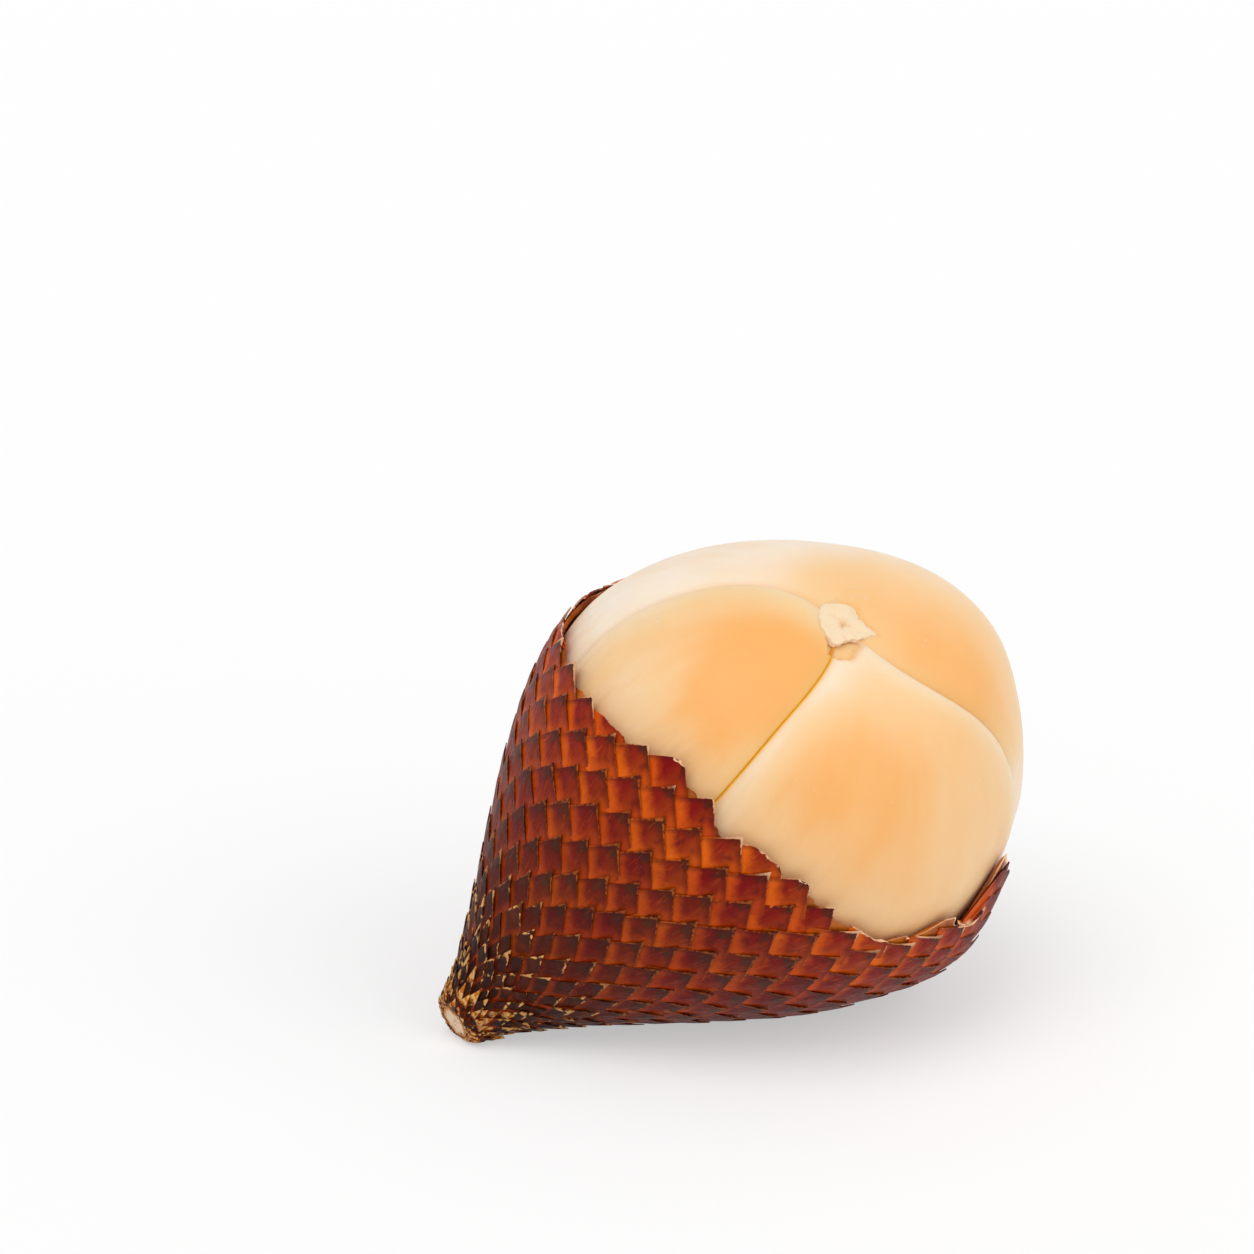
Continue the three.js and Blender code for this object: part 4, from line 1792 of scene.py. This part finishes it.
@dataclass(frozen=True)
class Lobe:
    """One lobe of flesh: its frame node, its two grooves and edges, and its colouring."""

    name: str
    node: str
    start: Groove
    end: Groove
    start_edge: Edge
    end_edge: Edge
    ripeness: float
    spots: tuple[Spot, ...]
    swell: float = 0.0


@dataclass
class Flesh:
    """Three lobes of flesh that meet on a line from the neck to the apex pad."""

    form: FruitForm
    tear: Tear
    # body of the flesh
    skin_gap: float = 1.25
    neck_solid_to: float = 11.0
    pole_past: float = 0.6  # the flesh starts this far past the hollow's neck end
    hollow_round: float = 5.0
    rounding_less: float = 0.5
    root_past: float = 2.0
    farthest: float = 80.0
    halvings: int = 26
    shoulder_direction: tuple[float, float, float] = (0.923, 0.058, 0.38)
    shoulder_width: float = math.radians(23)
    shoulder: float = 2.2
    # lobes and the grooves between them
    groove_zero: tuple[float, float, float] = (0.934, -0.358, 0.0)
    left_right: Groove = Groove(-97.5, 11, 27)
    left_rear: Groove = Groove(164, -25, 42)
    right_rear: Groove = Groove(13.5, -42, 35)
    lobe_gap: float = 0.015
    pole_falls: Span = (math.radians(2), math.radians(173))
    evened: float = 0.75  # how far columns gather at a lobe's edges
    bare_span: Span = (0.0, 8.0)
    rows: int = 150
    columns: int = 150
    wall_columns: int = 6
    # bed under the pad, with a recess on one side
    pad_bed: float = 0.85
    pad_bed_inset: float = 0.55  # the bed's full depth starts this far under the pad's rim
    pad_bed_slope: float = 1.0
    bed_steepest: float = 0.99
    bed_ripple: float = 0.06
    bed_waves: Waves = ((11, 0.3, 1.0), (19, 2.0, 0.7))
    recess: float = 2.4  # the bed reaches this much farther on the side of the recess
    recess_turn: float = math.radians(-63)
    recess_width: float = math.radians(38)
    recess_depth: float = 0.3  # and is this share deeper there
    # pad
    pad_direction: tuple[float, float, float] = (0.121, -0.524, 0.843)
    pad_outline: tuple[tuple[float, float], ...] = (  # turn in degrees, radius
        (-156, 2.1), (-130, 2.0), (-106, 2.3), (-94, 2.6), (-80, 2.3), (-68, 1.9), (-46, 1.8),
        (-20, 2.3), (-8, 2.6), (0, 3.5), (20, 2.7), (34, 2.6), (48, 2.2), (70, 2.9), (84, 3.4),
        (98, 3.4), (124, 3.4), (140, 3.2), (176, 2.3),
    )
    pad_rows: int = 44
    pad_columns: int = 120
    top_to: float = 0.75  # shares of the way from the pad's pole to its rim and round it
    rim_to: float = 0.85
    pad_thickness: float = 0.7
    pad_ragged: float = 0.025
    pad_top: float = 0.02
    pad_fall: float = 0.2
    pad_rough: float = 0.015
    dimple: float = 0.14
    dimple_radius: float = 0.5
    rays: int = 9
    ray_phase: float = 0.7
    ray_height: float = 0.02
    flap_turn: float = 0.0
    flap_width: float = math.radians(14)
    flap_span: Span = (0.6, 1.0)
    flap_lift: float = 0.2
    flap_under: float = 0.3  # share of the lift that the flap's underside follows

    def room(self, points: Numbers) -> Numbers:
        """Room inside the flesh as a whole, without its shoulder.

        Args:
            points: points in place on the table.

        Returns:
            Millimetres left to the surface.
        """
        distance, radius, turn = self.form.local(points)
        pole = self.neck_solid_to + self.pole_past
        rounding = self.hollow_round - self.rounding_less
        share = np.clip((pole + rounding - distance) / rounding, 0, 1)
        limit = self.form.radius(distance, self.skin_gap) * np.sqrt(1 - share * share)
        limit = np.where(distance <= pole, 0, limit)
        return limit - self.form.pinched(distance, turn) - radius

    def reach(self, start: Numbers, direction: Numbers) -> Numbers:
        """Distance from points inside the flesh to its surface along directions.

        Args:
            start: points inside the flesh.
            direction: directions of length 1.

        Returns:
            Distances.
        """
        start, direction = np.broadcast_arrays(start, direction)
        low = np.zeros(direction.shape[:-1])
        high = np.full(direction.shape[:-1], self.farthest)
        for _ in range(self.halvings):
            middle = (low + high) / 2
            inside = self.room(start + middle[..., None] * direction) > 0
            low = np.where(inside, middle, low)
            high = np.where(inside, high, middle)
        return low

    @cached_property
    def apex(self) -> Numbers:
        """Point of the surface under the pad's middle."""
        way = unit(np.array(self.pad_direction))
        return self.form.belly + way * self.reach(self.form.belly, way)

    @cached_property
    def root(self) -> Numbers:
        """Point of the axis from which the core line starts."""
        return self.form.point(self.neck_solid_to + self.root_past, 0.0, 0.0)

    @cached_property
    def core(self) -> Numbers:
        """Direction of the line on which the lobes meet."""
        return unit(self.apex - self.root)

    @cached_property
    def heart(self) -> Numbers:
        """Point of the core line beside the belly's middle."""
        return self.root + self.core * ((self.form.belly - self.root) @ self.core)

    @cached_property
    def backward(self) -> Numbers:
        """Direction square to the core that grooves' turns run towards."""
        return unit(np.cross(self.core, np.array(self.groove_zero)))

    def way(self, turn: Numbers, fall: Numbers) -> Numbers:
        """Directions from the heart by turn round the core and fall from the apex.

        Args:
            turn: turns round the core.
            fall: angles from the apex.

        Returns:
            Directions of length 1.
        """
        right = np.cross(self.backward, self.core)
        return (
            np.cos(fall)[..., None] * self.core
            + (np.sin(fall) * np.cos(turn))[..., None] * right
            + (np.sin(fall) * np.sin(turn))[..., None] * self.backward
        )

    def surface(self, way: Numbers, swell: float) -> Numbers:
        """Distance from the heart to the surface, with a share of the shoulder's swell.

        Args:
            way: directions of length 1.
            swell: share of the shoulder.

        Returns:
            Distances.
        """
        off = np.arccos(np.clip(way @ unit(np.array(self.shoulder_direction)), -1, 1))
        swelling = swell * self.shoulder * np.exp(-((off / self.shoulder_width) ** 2))
        return self.reach(self.heart, way) + swelling

    def lobes(self) -> list[Lobe]:
        """The three lobes between the three grooves.

        Returns:
            Left, right and rear lobe.
        """
        behind = Groove(self.left_rear.turn - 360, self.left_rear.swing, self.left_rear.fade)
        return [
            Lobe("left_lobe", "flesh_lobe_left", behind, self.left_right,
                 Edge(0.5, 1.8, 0.5, 3.0, 0.12), Edge(0.36, 1.1, 0.0, 1.0), 0.5,
                 (Spot(33, -136, 26, 0.6), Spot(24, -105, 14, 0.4), Spot(60, -125, 22, 0.25),
                  Spot(72, -165, 26, -0.12))),
            Lobe("right_lobe", "flesh_lobe_right", self.left_right, self.right_rear,
                 Edge(0.4, 1.2, 0.6, 3.0), Edge(0.3, 1.3, 0.5, 2.4, 9.0), 0.46,
                 (Spot(52, -55, 27, 0.42), Spot(16, -65, 12, -0.12))),
            Lobe("rear_lobe", "flesh_lobe_rear", self.right_rear, self.left_rear,
                 Edge(1.0, 3.2, 0.0, 1.0, 9.0), Edge(0.9, 3.2, 0.0, 1.0, 0.12), 0.1,
                 (Spot(24, 4, 21, 0.72), Spot(13, 105, 15, 0.36), Spot(44, 0, 15, 0.3)), 1.0),
        ]

    def pad_radius(self, turn: Numbers) -> Numbers:
        """Distance from the apex to the pad's rim."""
        corners = np.array(self.pad_outline)
        return np.interp(np.degrees(turn), corners[:, 0], corners[:, 1], period=360)

    def bed(self, turn: Numbers, from_apex: Numbers) -> Numbers:
        """Depth of the hollow that holds the pad, with a rounded rim that hugs the pad.

        Args:
            turn: turns round the core.
            from_apex: distances from the apex.

        Returns:
            Depths.
        """
        recessed = bump(turn, self.recess_turn, self.recess_width)
        inner = self.pad_radius(turn) - self.pad_bed_inset + self.recess * recessed
        inner = inner + self.bed_ripple * ripple(turn, self.bed_waves)
        share = np.clip(1 - (from_apex - inner) / self.pad_bed_slope, 0, 1)
        depth = self.pad_bed * (1 + self.recess_depth * recessed)
        return depth * (1 - np.sqrt(1 - self.bed_steepest * share * share))

    def middle_line(self, fall: Numbers) -> Numbers:
        """Points of the core line that the walls of all three grooves meet at.

        Args:
            fall: angles from the apex.

        Returns:
            Points in place on the table.
        """
        levels = []
        for groove in (self.left_right, self.left_rear, self.right_rear):
            way = self.way(groove.at(fall), fall)
            levels.append(self.surface(way, 0.0) * (way @ self.core))
        return self.heart + (sum(levels) / len(levels))[..., None] * self.core

    def lobe(self, lobe: Lobe) -> bpy.types.Object:
        """Makes the closed body of one lobe, its outer face and the two that meet others.

        Args:
            lobe: what the lobe is like.

        Returns:
            The piece.
        """
        face, wall = self.columns, self.wall_columns
        whole = face + 2 * wall
        level = np.array(math.pi / 2)
        shift = self.way((lobe.start.at(level) + lobe.end.at(level)) / 2, level) * self.lobe_gap
        kept: dict[str, Numbers] = {}

        def outer(fall: Numbers, across: Numbers) -> Numbers:
            """Points of the outer face, and values for its finish.

            Args:
                fall: angles from the apex.
                across: shares of the way from the first groove to the second.

            Returns:
                Points in place on the table.
            """
            start, end = lobe.start.at(fall), lobe.end.at(fall)
            gathered = 0.5 - 0.5 * np.cos(math.pi * across)
            turn = mix(start, end, mix(across, gathered, self.evened))
            way = self.way(turn, fall)
            full = self.surface(way, lobe.swell)
            from_start = (turn - start) * full * np.sin(fall)
            to_end = (end - turn) * full * np.sin(fall)
            drop = np.maximum(lobe.start_edge.drop(from_start), lobe.end_edge.drop(to_end))
            bed = self.bed(turn, full * fall)
            ripe = np.full(len(fall), lobe.ripeness)
            for spot in lobe.spots:
                middle = self.way(np.radians(spot.turn), np.radians(spot.fall))
                off = np.arccos(np.clip(way @ middle, -1, 1)) / math.radians(spot.half_width)
                ripe = ripe + spot.strength * np.exp(-off * off)
            # ripeness, lowered along the proud lobe edges by a painted highlight
            kept["ripe"] = ripe * lobe.start_edge.highlight_paling(from_start) * lobe.end_edge.highlight_paling(to_end)
            kept["groove"] = np.minimum(
                from_start + lobe.start_edge.quiet, to_end + lobe.end_edge.quiet
            )
            kept["hollow"] = np.minimum(bed / self.pad_bed, 1)
            kept["turn"], kept["fall"] = turn, fall
            return self.heart + way * (full - np.maximum(bed, drop))[..., None]

        def mould(row: Numbers, column: Numbers) -> Numbers:
            """Points of the lobe.

            Args:
                row: shares of the way from pole to pole.
                column: column numbers.

            Returns:
                Points in place on the table.
            """
            fall = np.clip(mix(math.pi, 0, row), *self.pole_falls)
            start, end = (outer(fall, np.full(len(fall), side)) for side in (0.0, 1.0))
            surface = outer(fall, np.clip(column / (face - 1), 0, 1))
            into = np.clip((column - face + 1) / wall, 0, 1)
            out = np.clip((column - face + 1 - wall) / wall, 0, 1)
            inner = self.middle_line(fall)
            walls = mix(mix(end, inner, into[:, None]), start, out[:, None])
            points = np.where((column < face)[:, None], surface, walls)
            starting = (column >= face) & (out > 0.5)
            kept["groove"] = np.where(starting, lobe.start_edge.quiet, kept["groove"])
            pole = (row == 0) | (row == 1)
            return np.where(pole[:, None], inner, points) + shift

        piece = moulded_ball(lobe.name, self.rows, whole, mould, math.radians(55))
        for name, values in kept.items():
            add_values(piece, name, values)
        add_values(piece, "bare", smooth(-self.tear.room(points_of(piece)), *self.bare_span))
        return piece

    def pad(self) -> bpy.types.Object:
        """Makes the small ragged pad of tissue on the apex, where the lobes meet.

        Returns:
            The piece.
        """
        rng = np.random.default_rng(SEED + 3)
        turns = TAU * np.arange(self.pad_columns) / self.pad_columns
        ragged = 1 + self.pad_ragged * rng.normal(size=self.pad_columns)
        outline = self.pad_radius(turns) * ragged
        kept: dict[str, Numbers] = {}

        def mould(row: Numbers, column: Numbers) -> Numbers:
            """Points of the pad: its top from the dimple out, its rim, and its underside.

            Args:
                row: shares of the way from pole to pole.
                column: column numbers.

            Returns:
                Points in place on the table.
            """
            turn = turns[column % self.pad_columns]
            under = np.clip((row - self.rim_to) / (1 - self.rim_to), 0, 1)
            share = np.clip(row / self.top_to, 0, 1) * (1 - under)
            below = smooth(row, self.top_to, self.rim_to)
            radius = share * outline[column % self.pad_columns]
            way = self.way(turn, radius / self.surface(self.core, 0.0))
            dent = self.dimple * np.exp(-((radius / self.dimple_radius) ** 2))
            rays = np.sin(self.rays * turn + self.ray_phase) * np.sin(math.pi * share)
            flap = bump(turn, self.flap_turn, self.flap_width) * smooth(share, *self.flap_span)
            flap = self.flap_lift * flap
            rough = self.pad_rough * rng.normal(size=len(row)) * (share > 0)
            top = self.pad_top + self.ray_height * rays + flap + rough
            top = top - dent - self.pad_fall * share**5
            height = mix(top, -self.pad_thickness + self.flap_under * flap, below)
            kept["share"] = share
            return self.heart + way * (self.surface(way, 0.0) + height)[..., None]

        piece = moulded_ball("apex_pad_tissue", self.pad_rows, self.pad_columns, mould,
                             math.radians(60))
        add_values(piece, "share", kept["share"])
        return piece

    def build(self) -> list[bpy.types.Object]:
        """Builds and dresses the three lobes and the pad.

        Returns:
            The pieces.
        """
        finish = FleshFinish().material()
        dressed = [(self.lobe(lobe), lobe.node, "flesh", finish) for lobe in self.lobes()]
        dressed.append((self.pad(), "apex_pad", "pad_tissue", PadFinish().material()))
        for piece, node, slot, material in dressed:
            piece.data.materials.append(material)
            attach(piece, "root")
            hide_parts(node)
        return [piece for piece, *_ in dressed]


# ---------------------------------------------------------------------- studio


@dataclass
class Studio:
    """Pale floor, soft light and the camera."""

    form: FruitForm
    azimuth: float = math.radians(-21)
    elevation: float = math.radians(24)
    distance: float = 0.6
    aim_right: float = 17.1
    aim_up: float = 40.4
    lens: float = 165.8
    sensor: float = 36.0
    room_light: float = 0.62
    floor_glow: float = 0.46
    floor_paper: float = 0.52  # its colour as the camera sees it
    floor_pale: float = 0.9  # its colour for the light that it throws back
    floor_size: float = 6.0
    key: tuple[tuple[float, float, float], float, float] = ((-0.35, -0.2, 0.8), 45, 1.0)
    fill: tuple[tuple[float, float, float], float, float] = ((0.5, -0.6, 0.5), 60, 0.7)

    def camera(self) -> None:
        """Places the camera over the stem and turns it to the middle of the view."""
        a, e = self.azimuth, self.elevation
        right = Vector((math.cos(a), math.sin(a), 0))
        back = Vector((math.sin(a) * math.cos(e), -math.cos(a) * math.cos(e), math.sin(e)))
        stem = Vector(self.form.stem) * METRE
        aim = stem + (right * self.aim_right + back.cross(right) * self.aim_up) * METRE
        place = stem + back * self.distance
        behind = (place - aim).normalized()
        level = (right - behind * right.dot(behind)).normalized()
        data = bpy.data.cameras.new("camera")
        data.sensor_width = self.sensor
        data.lens = self.lens
        data.clip_start = 0.01
        camera = bpy.data.objects.new("camera", data)
        camera.matrix_world = Matrix.Translation(place) @ Matrix(
            (level, behind.cross(level), behind)
        ).transposed().to_4x4()
        bpy.context.scene.collection.objects.link(camera)
        bpy.context.scene.camera = camera

    def lamp(self, name: str, place: Sequence[float], spread: float, strength: float) -> None:
        """Adds a wide soft lamp that shines from a place towards the fruit.

        Args:
            name: the lamp's name.
            place: where it shines from.
            spread: its width, in degrees.
            strength: its strength.
        """
        data = bpy.data.lights.new(name, "SUN")
        data.angle = math.radians(spread)
        data.energy = strength
        lamp = bpy.data.objects.new(name, data)
        lamp.location = place
        lamp.rotation_euler = Vector(place).to_track_quat("Z", "Y").to_euler()
        bpy.context.scene.collection.objects.link(lamp)

    def floor(self) -> bpy.types.Object:
        """Makes the floor.

        Returns:
            The floor.
        """
        deselect_all()
        bpy.ops.mesh.primitive_plane_add(size=self.floor_size, location=(0, 0, 0))
        floor = bpy.context.object
        floor.name = "floor"
        sheet = NodeSheet("floor_paper")
        seen = sheet.seen_directly()
        pale, paper = ((grey, grey, grey, 1.0) for grey in (self.floor_pale, self.floor_paper))
        floor.data.materials.append(sheet.finish(
            Base_Color=sheet.blend(seen, pale, paper), Roughness=1.0, Specular_IOR_Level=0.0,
            Emission_Color=(1, 1, 1, 1),
            Emission_Strength=sheet.times(seen, self.floor_glow),
        ))
        return floor

    def world(self) -> None:
        """Fills the room with even pale light, and shows it pale to the camera."""
        world = bpy.data.worlds.new("room")
        world.use_nodes = True
        nodes, links = world.node_tree.nodes, world.node_tree.links
        light = nodes["Background"]
        light.inputs["Color"].default_value = (1, 1, 1, 1)
        light.inputs["Strength"].default_value = self.room_light
        path = nodes.new("ShaderNodeLightPath").outputs
        mirrored, directly = nodes.new("ShaderNodeMath"), nodes.new("ShaderNodeMath")
        directly.use_clamp = True
        either = nodes.new("ShaderNodeMixShader")
        for source, socket in (
            (path["Is Glossy Ray"], mirrored.inputs[0]),
            (path["Is Transmission Ray"], mirrored.inputs[1]),
            (path["Is Camera Ray"], directly.inputs[0]),
            (mirrored.outputs[0], directly.inputs[1]),
            (directly.outputs[0], either.inputs[0]),
            (light.outputs[0], either.inputs[1]),
            (nodes.new("ShaderNodeBackground").outputs[0], either.inputs[2]),
            (either.outputs[0], nodes["World Output"].inputs[0]),
        ):
            links.new(source, socket)
        bpy.context.scene.world = world

    def build(self) -> None:
        """Builds the studio."""
        self.camera()
        self.floor()
        self.world()
        self.lamp("key", *self.key)
        self.lamp("fill", *self.fill)
        bpy.context.scene.view_settings.view_transform = "Standard"


def main() -> None:
    """Builds the fruit and the studio, and reports each piece."""
    logging.basicConfig(level=logging.INFO, format="%(name)s: %(message)s")
    form = FruitForm()
    tear = Tear(form)
    pieces = ScalySkin(form, tear, ScaleLattice(form)).build()
    pieces += Flesh(form, tear).build()
    Studio(form).build()
    for piece in pieces:
        LOG.info("%s: %d faces", piece.name, len(piece.data.polygons))


if __name__ == "__main__":
    main()
